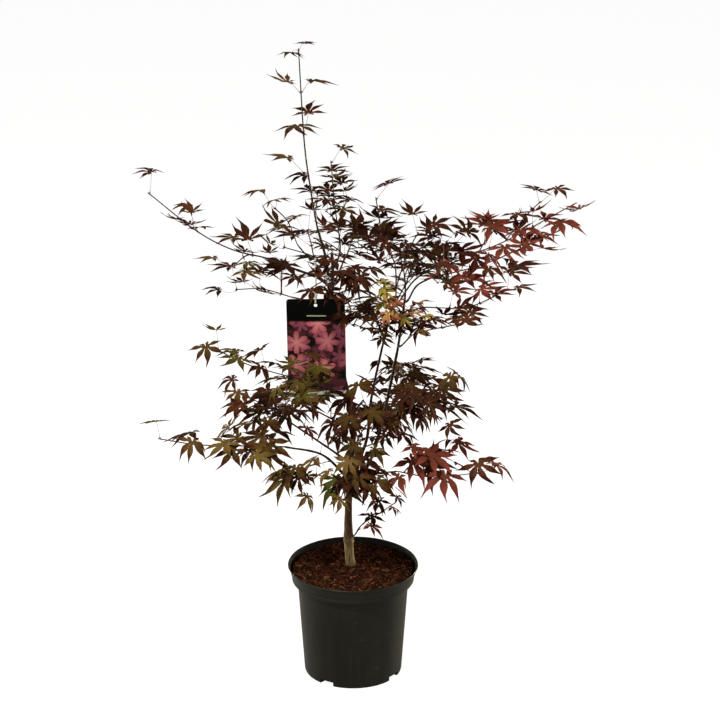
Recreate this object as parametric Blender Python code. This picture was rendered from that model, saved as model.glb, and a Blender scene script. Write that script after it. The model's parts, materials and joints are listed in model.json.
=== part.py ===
"""Potted Japanese maple: a nursery pot, its growing medium, a grafted trunk, boughs and masses of foliage.

Metres, +Z up. The origin is the centre of the pot's flat underside, and the plant's front faces -Y.
The pot and the medium are turned. The trunk and the boughs are tapering limbs. Each mass of foliage
is grown by one seeded rule: opposite pairs of lobed leaves on twigs that branch from a single stem,
which starts where its bough ends. All sizes in the tables are centimetres.
"""

import math
import random
from dataclasses import dataclass

import bmesh
import bpy
from mathutils import Matrix, Vector, kdtree
from mathutils.bvhtree import BVHTree

CM = 0.01
UP = Vector((0.0, 0.0, 1.0))

# Gap between neighbouring solids, and the space that leaves and twigs leave round a limb.
CLEARANCE = 0.0003
LIMB_GUARD = 0.0012

# Nursery pot: a tapered wall under a wide rolled band, on a base with four drainage notches.
POT_HEIGHT = 24.7
POT_BASE_RADIUS = 10.5
POT_WALL_RADIUS = 11.9
POT_STEP_RADIUS = 13.1
POT_RIM_RADIUS = 14.0
POT_BAND_HEIGHT = 3.4
POT_LIP_HEIGHT = 0.35
POT_LIP_OVERHANG = 0.2
POT_STEP_SLOPE = 0.5
LIP_BEVEL = 0.08
POT_THICKNESS = 0.2
POT_EDGE = 0.3
POT_SIDES = 28
NOTCH_COUNT = 4
NOTCH_TURN = -33.0
NOTCH_WIDTH = 3.3
NOTCH_HEIGHT = 1.0
NOTCH_DEPTH = 3.0
NOTCH_SKIN = 0.25
DRAIN_RADIUS = 0.5
DRAIN_SIDES = 8
DRAIN_PLACE = 0.6

# Growing medium: a low mound that is flat round the trunk.
MEDIUM_EDGE_HEIGHT = 22.9
MEDIUM_TOP = 23.5
MEDIUM_FLAT_RADIUS = 4.0
MEDIUM_SHOULDER_RADIUS = 9.5

# Sections of the limbs and the twigs.
TRUNK_SIDES = 12
BOUGH_SIDES = 6
TWIG_SIDES = 3
TRUNK_RING_SPACING = 3.8
BOUGH_RING_SPACING = 4.6
TWIG_RING_SPACING = 4.8
TWIG_TIP_RADIUS = 0.14
SHOOT_RADIUS = 0.17
STEM_RADIUS = 0.2
# A limb first leaves its seat square to it, for this many of its radii.
LIFT = 1.8
STALK_FOOT = 0.045
STALK_HEAD = 0.07

# Growth: distance between leaf pairs, petiole length and leaf length, each scaled by the mass.
INTERNODE = 5.7
FIRST_NODE = 0.55
PETIOLE_LENGTH = 3.1
LEAF_LENGTH = 6.4
# Pairs on an upright shoot stand a quarter turn apart, and on a level one they lie flatter.
LEVEL_PAIR_TURN = 38.0
PAIR_WOBBLE = 24.0
UPRIGHT_LIMIT = 0.35
TIP_SHRINK = 0.3
# Side twigs: their chance at a leaf's place, their reach and its spread, and their direction's parts.
TWIG_CHANCE = 0.13
TWIG_REACH = 5.2
TWIG_SPAN = (0.8, 1.3)
TWIG_SPREAD = 0.75
TWIG_RISE = 0.2
TWIG_ARCH = 0.3
TWIG_DRESSED_FROM = 0.8
# How far past the middle between two masses a leaf may reach where nothing has grown yet, and the
# share of a stalk or a side twig, from its root, that is left out when its room is tested.
SEAM = 2.4
STALK_TESTED_FROM = 0.4

# Pose of a leaf: the stalk's parts away from, along and above its twig and the range of its length,
# the blade's pull to the crown's outside, its spread, fall and roll, and the ranges of its size and droop.
POSE_TRIES = 6
STALK_OUT = 0.8
STALK_AHEAD = 0.45
STALK_RISE = (0.3, 0.75)
STALK_LOWEST = -0.3
STALK_SPAN = (0.65, 1.25)
OUTWARD_PULL = 0.35
HEADING_SPREAD = 0.4
BLADE_FALL = (-6.0, 34.0)
BLADE_ROLL = 0.3
BLADE_SPAN = (0.82, 1.12)
DROOP_SPAN = (0.6, 1.6)

# Leaf outline: lobes by their angle from the midrib and their share of the leaf's length.
LOBES = ((-97.0, 0.66), (-47.0, 0.92), (0.0, 1.0), (47.0, 0.92), (97.0, 0.66))
NOTCH_SHARE = 0.38
LOBE_DROOP = 0.16

# Hanging label: a card on a looped strap.
CARD_WIDTH = 12.1
CARD_HEIGHT = 21.8
CARD_THICKNESS = 0.1
CARD_CENTRE = (-7.5, -1.5, 74.6)
CARD_TILT = 0.9
CARD_HOLE_RADIUS = 0.35
CARD_HOLE_SIDES = 12
CARD_HOLE_DROP = 1.4
STRAP_TOP = 94.3
STRAP_SEAT = 0.22
STRAP_WIDTH = 0.35
STRAP_THICKNESS = 0.1
STRAP_SPREAD = 0.5
STRAP_ARC_STEPS = 6


@dataclass(frozen=True)
class Bough:
    """A tapering limb that leaves its parent at a share of its length and follows a few turning points."""

    name: str
    parent: str
    at: float
    route: tuple
    base: float
    tip: float


@dataclass(frozen=True)
class Mass:
    """A mass of foliage: its stem's turning points and the side shoots as (share of stem, tip, arch)."""

    name: str
    carrier: str
    route: tuple
    shoots: tuple = ()
    at: float = 1.0
    leaf: float = 1.0
    vigour: float = 1.0
    tint: str = "leaf_dark"


TRUNK_ROUTE = (
    (-0.5, 1.5, 23.53),
    (-0.9, 1.5, 29.5),
    (-0.9, 1.5, 38.9),
    (-0.4, 1.0, 48.0),
    (0.1, 0.4, 58.0),
    (-1.5, 1.0, 65.4),
    (-3.3, 2.0, 75.1),
    (-4.4, 2.0, 84.0),
    (-4.1, 2.0, 89.4),
    (-4.3, 2.0, 94.2),
)
# Trunk radius by height: root flare, swollen graft, then an even taper to the pruned tip.
TRUNK_GIRTH = (
    (23.5, 1.3),
    (25.2, 0.98),
    (28.0, 1.0),
    (29.8, 1.12),
    (32.2, 0.84),
    (40.0, 0.76),
    (48.0, 0.62),
    (60.0, 0.5),
    (80.0, 0.42),
    (94.2, 0.3),
)

BOUGHS = (
    Bough("leader_bough", "trunk", 0.93, ((-5.6, 2.0, 93.4), (-7.2, 2.0, 99.5)), 0.34, 0.24),
    Bough("second_leader_bough", "trunk", 0.955, ((-2.6, 3.6, 94.2), (-2.8, 4.0, 97.5)), 0.22, 0.17),
    Bough("upper_left_bough", "leader_bough", 0.3,
          ((-6.0, -1.3, 93.2), (-9.0, -1.7, 94.6), (-11.2, -2.4, 97.4)), 0.17, 0.14),
    Bough("left_high_bough", "trunk", 0.9,
          ((-7.0, 2.4, 88.6), (-12.0, 1.2, 91.0), (-18.0, -1.0, 94.2)), 0.32, 0.2),
    Bough("left_rear_bough", "trunk", 0.845, ((-8.5, 5.5, 82.4), (-12.8, 8.0, 82.4)), 0.22, 0.16),
    Bough("left_green_bough", "trunk", 0.55,
          ((0.0, -3.4, 64.4), (-4.6, -7.4, 67.6), (-10.8, -10.0, 71.0)), 0.22, 0.16),
    Bough("left_low_bough", "trunk", 0.3, ((-6.5, -3.5, 51.5), (-14.1, -7.0, 54.7)), 0.3, 0.2),
    Bough("left_inner_bough", "trunk", 0.345, ((-6.0, 2.6, 51.0), (-13.0, 4.0, 55.5)), 0.26, 0.18),
    Bough("right_front_stem", "trunk", 0.255,
          ((1.6, -0.2, 45.0), (4.2, -1.0, 50.5), (7.0, -1.2, 62.0), (9.6, -1.0, 76.0), (10.8, -1.0, 86.0)),
          0.4, 0.24),
    Bough("right_rear_stem", "trunk", 0.285,
          ((1.0, 3.2, 46.5), (3.0, 4.4, 52.0), (3.9, 4.6, 61.0), (6.5, 4.6, 74.0), (8.9, 4.4, 83.5)),
          0.36, 0.2),
    Bough("right_high_bough", "right_front_stem", 0.97,
          ((13.0, -1.5, 88.2), (16.0, -2.2, 90.2)), 0.2, 0.18),
    Bough("right_upper_bough", "right_rear_stem", 0.955,
          ((12.6, 4.6, 87.2), (16.4, 4.9, 89.8)), 0.19, 0.17),
    Bough("right_mid_bough", "right_rear_stem", 0.86, ((13.5, 6.0, 80.6), (17.5, 6.5, 80.6)), 0.17, 0.14),
    Bough("right_shoulder_bough", "right_front_stem", 0.76, ((12.2, -4.0, 78.4),), 0.18, 0.15),
    Bough("right_inner_bough", "right_front_stem", 0.36,
          ((7.4, -4.6, 61.0), (9.8, -7.5, 64.2)), 0.18, 0.15),
    Bough("right_low_bough", "trunk", 0.27, ((3.0, -5.5, 47.6), (9.0, -8.0, 49.6)), 0.22, 0.16),
    Bough("young_bough", "right_front_stem", 0.88, ((9.8, -4.8, 84.0), (8.8, -7.5, 86.0)), 0.15, 0.13),
    Bough("crown_front_bough", "trunk", 0.915, ((-4.0, -2.2, 91.0), (-3.4, -6.0, 93.0)), 0.2, 0.15),
    Bough("crown_rear_bough", "trunk", 0.88, ((-3.4, 8.0, 86.6), (-2.2, 13.0, 88.0)), 0.24, 0.17),
    Bough("knot_rear_bough", "right_rear_stem", 0.9, ((9.4, 9.0, 81.6), (11.0, 14.0, 82.8)), 0.18, 0.15),
    Bough("inner_rear_bough", "right_rear_stem", 0.42, ((6.0, 9.0, 57.8), (8.4, 13.0, 58.4)), 0.2, 0.15),
    Bough("low_rear_bough", "trunk", 0.37, ((0.8, 6.5, 50.0), (1.8, 12.0, 50.0)), 0.24, 0.17),
    Bough("left_rear_low_bough", "trunk", 0.45, ((-4.0, 7.5, 54.8), (-8.0, 13.5, 54.5)), 0.22, 0.16),
    Bough("centre_front_bough", "trunk", 0.5, ((0.6, -3.6, 61.6), (2.0, -8.0, 65.5)), 0.18, 0.14),
)

MASSES = (
    Mass("top_foliage", "leader_bough", ((-8.6, 2.0, 108.0), (-9.8, 2.0, 118.0), (-10.8, 2.0, 137.0)),
         leaf=0.8, vigour=0.5),
    Mass("second_top_foliage", "second_leader_bough", ((-3.7, 4.0, 104.0), (-4.4, 4.0, 113.0)),
         ((0.15, (1.0, 3.0, 98.5), 0.6),), leaf=0.85),
    Mass("upper_left_foliage", "upper_left_bough", ((-13.1, -4.0, 103.0), (-15.6, -5.0, 106.0)),
         leaf=0.85, vigour=0.3),
    Mass("centre_high_foliage", "trunk", ((-0.4, 0.6, 82.0), (1.6, -4.5, 82.8), (4.2, -13.0, 83.4)),
         ((0.5, (0.2, -13.5, 84.0), 0.4),), at=0.825, leaf=0.9),
    Mass("crown_left_foliage", "trunk", ((-8.0, 5.4, 92.2), (-14.2, 8.0, 93.4)),
         ((0.45, (-9.4, 11.0, 95.6), 0.6),), at=0.94, leaf=0.9),
    Mass("left_high_foliage", "left_high_bough",
         ((-24.5, -3.0, 96.6), (-31.6, -4.0, 100.9), (-41.0, -4.5, 109.0)),
         ((0.12, (-24.0, -8.0, 94.6), 0.5),), leaf=0.78, vigour=0.5),
    Mass("left_rear_foliage", "left_rear_bough", ((-19.0, 12.0, 82.8), (-24.6, 14.5, 81.8)),
         ((0.2, (-15.0, 16.0, 88.0), 1.0),), leaf=0.9),
    Mass("left_green_foliage", "left_green_bough",
         ((-16.2, -13.0, 73.7), (-21.8, -15.0, 76.4), (-27.1, -16.0, 79.6)),
         ((0.15, (-13.4, -17.5, 70.4), 0.3), (0.06, (-6.8, -14.0, 70.4), 0.4)), vigour=0.6,
         tint="leaf_green"),
    Mass("left_low_foliage", "left_low_bough",
         ((-24.0, -10.0, 56.2), (-32.0, -12.0, 57.3), (-39.6, -13.0, 59.0)),
         ((0.2, (-22.0, -14.4, 55.6), 0.4), (0.08, (-20.0, -4.4, 57.4), 0.4)), tint="leaf_olive"),
    Mass("left_inner_foliage", "left_inner_bough", ((-17.9, 2.6, 59.8), (-23.6, 0.5, 63.6)),
         ((0.15, (-22.0, 5.5, 57.0), 0.6), (0.3, (-14.0, -2.6, 61.6), 0.5))),
    Mass("lowest_left_foliage", "trunk", ((-3.6, -3.0, 45.4), (-8.0, -7.0, 48.4), (-11.0, -10.0, 49.2)),
         at=0.245),
    Mass("front_low_foliage", "trunk", ((0.8, -6.0, 49.4), (2.0, -13.0, 54.0)),
         ((0.5, (5.6, -12.0, 51.0), 0.4), (0.4, (-3.4, -12.6, 49.0), 0.4)), at=0.325, leaf=1.1,
         tint="leaf_olive"),
    Mass("centre_right_foliage", "trunk", ((3.4, -3.0, 53.4), (7.4, -6.0, 56.0)), at=0.385),
    Mass("right_low_foliage", "right_low_bough", ((16.4, -11.0, 49.6), (25.6, -14.0, 51.8)),
         ((0.3, (20.0, -8.0, 54.0), 0.5), (0.1, (13.0, -12.0, 53.0), 0.5)), tint="leaf_red"),
    Mass("lowest_right_foliage", "trunk", ((1.9, -0.2, 33.9), (5.7, -2.0, 37.4), (8.9, -3.0, 40.2)),
         at=0.1, leaf=0.6, vigour=0.3),
    Mass("right_inner_foliage", "right_inner_bough", ((13.6, -10.0, 66.2), (19.9, -11.5, 70.6)),
         ((0.2, (18.0, -13.0, 63.6), 0.5), (0.4, (13.4, -15.0, 67.6), 0.5))),
    Mass("right_shoulder_foliage", "right_shoulder_bough", ((15.8, -6.0, 80.3), (22.4, -8.0, 82.4)),
         leaf=0.85),
    Mass("right_mid_foliage", "right_mid_bough", ((24.4, 7.0, 80.6), (32.4, 8.0, 84.0)), leaf=0.85),
    Mass("right_high_foliage", "right_high_bough",
         ((21.0, -3.0, 91.8), (28.0, -4.0, 94.3), (41.6, -6.0, 101.6)),
         ((0.12, (19.6, -8.6, 91.4), 0.4), (0.32, (28.4, -9.8, 93.8), 0.5),
          (0.56, (35.4, -10.6, 99.0), 0.5)),
         vigour=0.6, tint="leaf_red"),
    Mass("right_upper_foliage", "right_upper_bough",
         ((22.0, 5.4, 92.0), (31.0, 6.4, 95.0), (46.0, 9.0, 102.6)),
         ((0.12, (19.6, 9.8, 94.0), 0.5), (0.32, (30.0, 12.0, 96.0), 0.6), (0.5, (39.0, 13.0, 101.6), 0.5)),
         leaf=0.95, vigour=0.6, tint="leaf_red"),
    Mass("knot_foliage", "right_rear_stem", ((8.7, 3.6, 91.5), (6.4, 4.0, 95.5), (4.8, 4.6, 105.0)),
         ((0.1, (13.4, 2.0, 98.4), 1.4), (0.3, (3.0, 7.0, 92.5), 0.5)), leaf=0.85),
    Mass("knot_front_foliage", "right_front_stem", ((10.6, -3.0, 91.0), (9.6, -7.0, 97.0)), leaf=0.9),
    Mass("young_foliage", "young_bough", ((8.2, -10.5, 86.0), (8.9, -14.5, 86.0)),
         ((0.3, (12.5, -12.0, 85.0), 0.4),), leaf=0.7, tint="leaf_young"),
    Mass("crown_front_foliage", "crown_front_bough", ((-3.2, -11.0, 93.8), (-4.0, -19.0, 93.4)),
         ((0.35, (1.6, -14.0, 94.2), 0.6), (0.5, (-9.0, -17.0, 92.6), 0.6))),
    Mass("crown_rear_foliage", "crown_rear_bough", ((-0.8, 19.0, 89.2), (0.0, 27.0, 90.0)),
         ((0.2, (-8.0, 21.0, 91.0), 0.8), (0.45, (6.0, 24.0, 87.4), 0.5))),
    Mass("knot_rear_foliage", "knot_rear_bough", ((12.4, 20.0, 84.0), (14.0, 27.0, 84.4)),
         ((0.3, (19.0, 19.0, 85.6), 0.6),)),
    Mass("inner_rear_foliage", "inner_rear_bough", ((10.6, 18.0, 58.6), (12.0, 25.0, 58.0)),
         ((0.3, (17.0, 18.5, 58.0), 0.6),), vigour=0.5),
    Mass("low_rear_foliage", "low_rear_bough", ((2.4, 18.0, 48.6), (3.4, 26.0, 46.6)),
         ((0.3, (8.0, 20.0, 46.6), 0.5),), vigour=0.5),
    Mass("left_rear_low_foliage", "left_rear_low_bough", ((-12.0, 19.0, 52.4), (-16.4, 24.0, 50.6)),
         ((0.3, (-17.6, 15.0, 51.6), 0.5),)),
    Mass("centre_front_foliage", "centre_front_bough", ((2.6, -13.0, 66.6), (2.0, -18.0, 66.0)),
         ((0.2, (-1.6, -14.0, 62.4), 0.4),)),
)

# Base colour, roughness and metallic value of each finish.
FINISHES = {
    "pot_plastic": ((0.012, 0.015, 0.013, 1.0), 0.42, 0.0),
    "peat": ((0.075, 0.028, 0.014, 1.0), 0.95, 0.0),
    "bark": ((0.16, 0.12, 0.085, 1.0), 0.85, 0.0),
    "twig_bark": ((0.07, 0.035, 0.025, 1.0), 0.7, 0.0),
    "leaf_dark": ((0.055, 0.02, 0.014, 1.0), 0.55, 0.0),
    "leaf_red": ((0.16, 0.03, 0.02, 1.0), 0.55, 0.0),
    "leaf_olive": ((0.11, 0.08, 0.02, 1.0), 0.55, 0.0),
    "leaf_green": ((0.1, 0.14, 0.03, 1.0), 0.55, 0.0),
    "leaf_young": ((0.32, 0.22, 0.06, 1.0), 0.55, 0.0),
    "card": ((0.3, 0.07, 0.12, 1.0), 0.35, 0.0),
    "strap": ((0.6, 0.6, 0.57, 1.0), 0.5, 0.0),
}


@dataclass
class Limb:
    """Centre line and radii of a limb or twig, in metres, with the name of the node it belongs to."""

    owner: str
    centre: list
    radii: list

    def place(self, share):
        """Point, direction and radius at a share of the length."""
        lengths = [0.0]
        for near, far in zip(self.centre, self.centre[1:]):
            lengths.append(lengths[-1] + (far - near).length)
        target = min(max(share, 0.0), 1.0) * lengths[-1]
        for index in range(len(self.centre) - 1):
            if target <= lengths[index + 1] or index == len(self.centre) - 2:
                step = lengths[index + 1] - lengths[index]
                part = (target - lengths[index]) / step
                near, far = self.centre[index], self.centre[index + 1]
                radius = self.radii[index] + (self.radii[index + 1] - self.radii[index]) * part
                return near.lerp(far, part), (far - near).normalized(), radius
        return self.centre[-1], UP, self.radii[-1]

    def length(self):
        """Length of the centre line."""
        return sum((far - near).length for near, far in zip(self.centre, self.centre[1:]))


def remove_all_objects():
    """Empty the scene."""
    for item in list(bpy.data.objects):
        bpy.data.objects.remove(item, do_unlink=True)


def finish(name):
    """Principled material of one of the named finishes."""
    material = bpy.data.materials.get(name)
    if material is None:
        colour, roughness, metallic = FINISHES[name]
        material = bpy.data.materials.new(name)
        material.use_nodes = True
        shader = material.node_tree.nodes["Principled BSDF"]
        shader.inputs["Base Color"].default_value = colour
        shader.inputs["Roughness"].default_value = roughness
        shader.inputs["Metallic"].default_value = metallic
        material.diffuse_color = colour
    return material


def add_object(name, mesh, finish_name, smooth=False):
    """Link a mesh as a named object with its own finish."""
    item = bpy.data.objects.new(name, mesh)
    bpy.context.scene.collection.objects.link(item)
    mesh.materials.clear()
    mesh.materials.append(finish(finish_name))
    if smooth:
        mesh.shade_smooth()
        mesh.set_sharp_from_angle(angle=math.radians(40.0))
    return item


def as_mesh(shape, name):
    """Named mesh of a bmesh, which is freed."""
    mesh = bpy.data.meshes.new(name)
    shape.to_mesh(mesh)
    shape.free()
    return mesh


def loft(name, rings):
    """Closed mesh through rings of equal count, with a flat cap on the first and the last."""
    shape = bmesh.new()
    loops = [[shape.verts.new(point) for point in ring] for ring in rings]
    count = len(rings[0])
    for lower, upper in zip(loops, loops[1:]):
        for index in range(count):
            following = (index + 1) % count
            shape.faces.new((lower[index], lower[following], upper[following], upper[index]))
    shape.faces.new(list(reversed(loops[0])))
    shape.faces.new(loops[-1])
    bmesh.ops.recalc_face_normals(shape, faces=shape.faces)
    return as_mesh(shape, name)


def turned_ring(radius, height, sides):
    """Points of a level circle, radius and height in centimetres."""
    turns = (2.0 * math.pi * index / sides for index in range(sides))
    return [Vector((radius * math.cos(turn), radius * math.sin(turn), height)) * CM for turn in turns]


def smooth_route(points, spacing):
    """Catmull-Rom curve through the points, sampled about every spacing."""
    ends = [points[0] * 2.0 - points[1], *points, points[-1] * 2.0 - points[-2]]
    curve = [points[0]]
    for index in range(1, len(ends) - 2):
        before, start, stop, after = ends[index - 1 : index + 3]
        steps = max(1, round((stop - start).length / spacing))
        for step in range(1, steps + 1):
            t = step / steps
            curve.append(
                (start * 2.0 + (stop - before) * t
                 + (before * 2.0 - start * 5.0 + stop * 4.0 - after) * t * t
                 + (start * 3.0 - before - stop * 3.0 + after) * t * t * t) * 0.5
            )
    return curve


def arched_route(start, tip, arch, spacing):
    """Parabola from start to tip whose middle stands arch above the straight line."""
    steps = max(2, round((tip - start).length / spacing))
    shares = (step / steps for step in range(steps + 1))
    return [start.lerp(tip, share) + UP * (4.0 * arch * share * (1.0 - share)) for share in shares]


def limb_mesh(name, limb, sides, first_normal=None, extra=0.0):
    """Tube of a limb's radii along its centre line; first_normal turns the base ring to its seat."""
    rings = []
    side = None
    for index, point in enumerate(limb.centre):
        ahead = limb.centre[min(index + 1, len(limb.centre) - 1)]
        behind = limb.centre[max(index - 1, 0)]
        along = (ahead - behind).normalized()
        if index == 0 and first_normal is not None:
            along = first_normal
        if side is None:
            side = along.orthogonal().normalized()
        side = (side - along * side.dot(along)).normalized()
        other = along.cross(side)
        radius = limb.radii[index] + extra
        turns = (2.0 * math.pi * step / sides for step in range(sides))
        rings.append([point + (side * math.cos(turn) + other * math.sin(turn)) * radius for turn in turns])
    return loft(name, rings)


def even_taper(points, base, tip):
    """Radii from base to tip, one for each point."""
    last = len(points) - 1
    return [(base + (tip - base) * index / last) * CM for index in range(last + 1)]


def girth_at(height):
    """Trunk radius at a height, both in centimetres."""
    for (low, wide), (high, narrow) in zip(TRUNK_GIRTH, TRUNK_GIRTH[1:]):
        if height <= high:
            share = max(0.0, (height - low) / (high - low))
            return wide + (narrow - wide) * share
    return TRUNK_GIRTH[-1][1]


def seat_on(parent, share, toward):
    """Start of a limb on its parent's side: the point just clear of the bark, and the way it faces."""
    centre, along, radius = parent.place(share)
    out = toward - centre
    out = (out - along * out.dot(along)).normalized()
    return centre + out * (radius + 1.2 * CLEARANCE), out


def pot_profile():
    """Outer wall from the underside up, over the lip and down the inside to the floor (cm)."""
    step_height = POT_HEIGHT - POT_BAND_HEIGHT
    lip_base = POT_HEIGHT - POT_LIP_HEIGHT
    band_top = POT_RIM_RADIUS - POT_LIP_OVERHANG
    skin = POT_THICKNESS
    return (
        (POT_BASE_RADIUS - POT_EDGE, 0.0),
        (POT_BASE_RADIUS, POT_EDGE),
        (POT_WALL_RADIUS, step_height - POT_STEP_SLOPE),
        (POT_STEP_RADIUS, step_height),
        (band_top, lip_base),
        (POT_RIM_RADIUS, lip_base + LIP_BEVEL),
        (POT_RIM_RADIUS, POT_HEIGHT - LIP_BEVEL),
        (POT_RIM_RADIUS - LIP_BEVEL, POT_HEIGHT),
        (band_top - skin, POT_HEIGHT - LIP_BEVEL / 2.0),
        (POT_STEP_RADIUS - skin, step_height + skin),
        (POT_WALL_RADIUS - skin, step_height - POT_STEP_SLOPE + skin),
        (POT_BASE_RADIUS - skin, POT_EDGE + skin),
    )


def inner_radius(height):
    """Radius of the pot's inner wall at a height (cm)."""
    inside = sorted((level, radius) for radius, level in pot_profile()[8:])
    for (low, narrow), (high, wide) in zip(inside, inside[1:]):
        if height <= high:
            return narrow + (wide - narrow) * max(0.0, (height - low) / (high - low))
    return inside[-1][1]


def notch_box(name, extra):
    """Block at the base's edge, turned to the first notch; extra widens it on every face but the base."""
    half = NOTCH_WIDTH / 2.0 + extra
    near = POT_BASE_RADIUS - NOTCH_DEPTH - extra
    far = POT_BASE_RADIUS + 1.0
    top = NOTCH_HEIGHT + extra
    shape = bmesh.new()
    bmesh.ops.create_cube(shape, size=1.0)
    for vert in shape.verts:
        vert.co.x = (near if vert.co.x < 0.0 else far) * CM
        vert.co.y = math.copysign(half, vert.co.y) * CM
        vert.co.z = (-0.5 if vert.co.z < 0.0 else top) * CM
    return as_mesh(shape, name)


def cylinder(radius, depth, sides):
    """Upright cylinder about the origin, sizes in centimetres."""
    shape = bmesh.new()
    bmesh.ops.create_cone(
        shape, cap_ends=True, segments=sides, radius1=radius * CM, radius2=radius * CM, depth=depth * CM
    )
    return shape


def drain_mesh(name):
    """Upright cylinder through the roof of a notch."""
    shape = cylinder(DRAIN_RADIUS, 4.0 * NOTCH_SKIN, DRAIN_SIDES)
    centre = Vector((POT_BASE_RADIUS - NOTCH_DEPTH * DRAIN_PLACE, 0.0, NOTCH_HEIGHT)) * CM
    bmesh.ops.translate(shape, verts=shape.verts, vec=centre)
    return as_mesh(shape, name)


def cut_with(item, mesh, turn, operation, label):
    """Join a tool to, or cut it from, an object, with the tool turned about the pot's axis."""
    tool = bpy.data.objects.new(label, mesh)
    bpy.context.scene.collection.objects.link(tool)
    tool.rotation_euler.z = turn
    tool.hide_render = True
    tool.display_type = "WIRE"
    change = item.modifiers.new(label, "BOOLEAN")
    change.operation = operation
    change.object = tool


def notch_turns():
    """Angles of the drainage notches about +Z, measured from +X; the front is at -90 degrees."""
    first = -90.0 + NOTCH_TURN
    return [math.radians(first + 360.0 * index / NOTCH_COUNT) for index in range(NOTCH_COUNT)]


def trimmed_to(mesh, radius_at_base):
    """Draw a block's outer end in to the given radius, so that it stays inside the wall."""
    for vert in mesh.vertices:
        if vert.co.x > POT_BASE_RADIUS * CM:
            vert.co.x = radius_at_base * CM
        if vert.co.z < 0.0:
            vert.co.z = 0.1 * CM
    return mesh


def build_pot():
    """Nursery pot: turned shell with boxed drainage notches."""
    rings = [turned_ring(radius, height, POT_SIDES) for radius, height in pot_profile()]
    item = add_object("nursery_pot", loft("nursery_pot", rings), "pot_plastic", smooth=True)
    for index, turn in enumerate(notch_turns()):
        boxing = trimmed_to(notch_box(f"boxing_{index}", NOTCH_SKIN), POT_BASE_RADIUS - POT_THICKNESS / 2.0)
        cut_with(item, boxing, turn, "UNION", f"notch_boxing_{index}")
    for index, turn in enumerate(notch_turns()):
        cut_with(item, notch_box(f"notch_{index}", 0.0), turn, "DIFFERENCE", f"notch_cutter_{index}")
        cut_with(item, drain_mesh(f"drain_{index}"), turn, "DIFFERENCE", f"drain_cutter_{index}")
    return item


def build_medium():
    """Peaty growing medium: fills the pot to a low mound, a little clear of its walls."""
    gap = CLEARANCE / CM
    floor = POT_EDGE + POT_THICKNESS + gap
    step = POT_HEIGHT - POT_BAND_HEIGHT
    profile = (
        (inner_radius(floor) - gap, floor),
        (inner_radius(step - 0.3) - 2.0 * gap, step - 0.3 + gap),
        (inner_radius(step + 0.3) - 2.0 * gap, step + 0.3 + gap),
        (inner_radius(MEDIUM_EDGE_HEIGHT) - 2.0 * gap, MEDIUM_EDGE_HEIGHT),
        (MEDIUM_SHOULDER_RADIUS, (MEDIUM_EDGE_HEIGHT + MEDIUM_TOP) / 2.0),
        (MEDIUM_FLAT_RADIUS, MEDIUM_TOP),
    )
    rings = [turned_ring(radius, height, POT_SIDES) for radius, height in profile]
    item = add_object("growing_medium", loft("growing_medium", rings), "peat", smooth=True)
    for index, turn in enumerate(notch_turns()):
        room = notch_box(f"room_{index}", NOTCH_SKIN + gap)
        cut_with(item, room, turn, "DIFFERENCE", f"boxing_room_{index}")
    return item


def build_trunk():
    """Trunk from a flat cut on the medium, over the graft, to the pruned tip."""
    route = smooth_route([Vector(point) * CM for point in TRUNK_ROUTE], TRUNK_RING_SPACING * CM)
    limb = Limb("trunk", route, [girth_at(point.z / CM) * CM for point in route])
    add_object("trunk", limb_mesh("trunk", limb, TRUNK_SIDES, first_normal=UP), "bark", smooth=True)
    return limb


def build_boughs(limbs):
    """Every bough in order, each seated on a limb that already stands."""
    for plan in BOUGHS:
        turning_points = [Vector(point) * CM for point in plan.route]
        seat, out = seat_on(limbs[plan.parent], plan.at, turning_points[0])
        lift = seat + out * (LIFT * plan.base * CM)
        route = smooth_route([seat, lift, *turning_points], BOUGH_RING_SPACING * CM)
        limb = Limb(plan.name, route, even_taper(route, plan.base, plan.tip))
        limbs[plan.name] = limb
        mesh = limb_mesh(plan.name, limb, BOUGH_SIDES, first_normal=out)
        add_object(plan.name, mesh, "twig_bark", smooth=True)


def card_corner(across, down):
    """Point of the card's plane, from its centre along its width and height (cm), in metres."""
    tilt = math.radians(CARD_TILT)
    x = across * math.cos(tilt) + down * math.sin(tilt)
    z = across * math.sin(tilt) - down * math.cos(tilt)
    return Vector((CARD_CENTRE[0] + x, CARD_CENTRE[1], CARD_CENTRE[2] + z)) * CM


def build_card():
    """Hanging label: a thin card with a punched hole."""
    half_width, half_height = CARD_WIDTH / 2.0, CARD_HEIGHT / 2.0
    signs = ((-1.0, 1.0), (1.0, 1.0), (1.0, -1.0), (-1.0, -1.0))
    back = Vector((0.0, CARD_THICKNESS * CM / 2.0, 0.0))
    outline = [card_corner(half_width * across, half_height * down) for across, down in signs]
    mesh = loft("label_card", [[point - back for point in outline], [point + back for point in outline]])
    item = add_object("label_card", mesh, "card")
    hole = cylinder(CARD_HOLE_RADIUS, 20.0 * CARD_THICKNESS, CARD_HOLE_SIDES)
    bmesh.ops.rotate(hole, verts=hole.verts, matrix=Matrix.Rotation(math.pi / 2.0, 3, "X"))
    bmesh.ops.translate(hole, verts=hole.verts, vec=card_hole())
    cut_with(item, as_mesh(hole, "card_punch"), 0.0, "DIFFERENCE", "card_punch")
    return item


def card_hole():
    """Centre of the card's punched hole."""
    return card_corner(0.0, CARD_HOLE_DROP - CARD_HEIGHT / 2.0)


def strap_path():
    """Points (Y, Z) of the strap's centre line: an upright loop with round ends, in metres."""
    spread = STRAP_SPREAD * CM
    low = card_hole().z + STRAP_SEAT * CM + spread
    high = STRAP_TOP * CM - spread
    turns = [math.pi * step / STRAP_ARC_STEPS for step in range(STRAP_ARC_STEPS + 1)]
    bottom = [(-math.cos(turn) * spread, low - math.sin(turn) * spread) for turn in turns]
    top = [(math.cos(turn) * spread, high + math.sin(turn) * spread) for turn in turns]
    return [(card_hole().y + y, z) for y, z in bottom + top]


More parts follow.
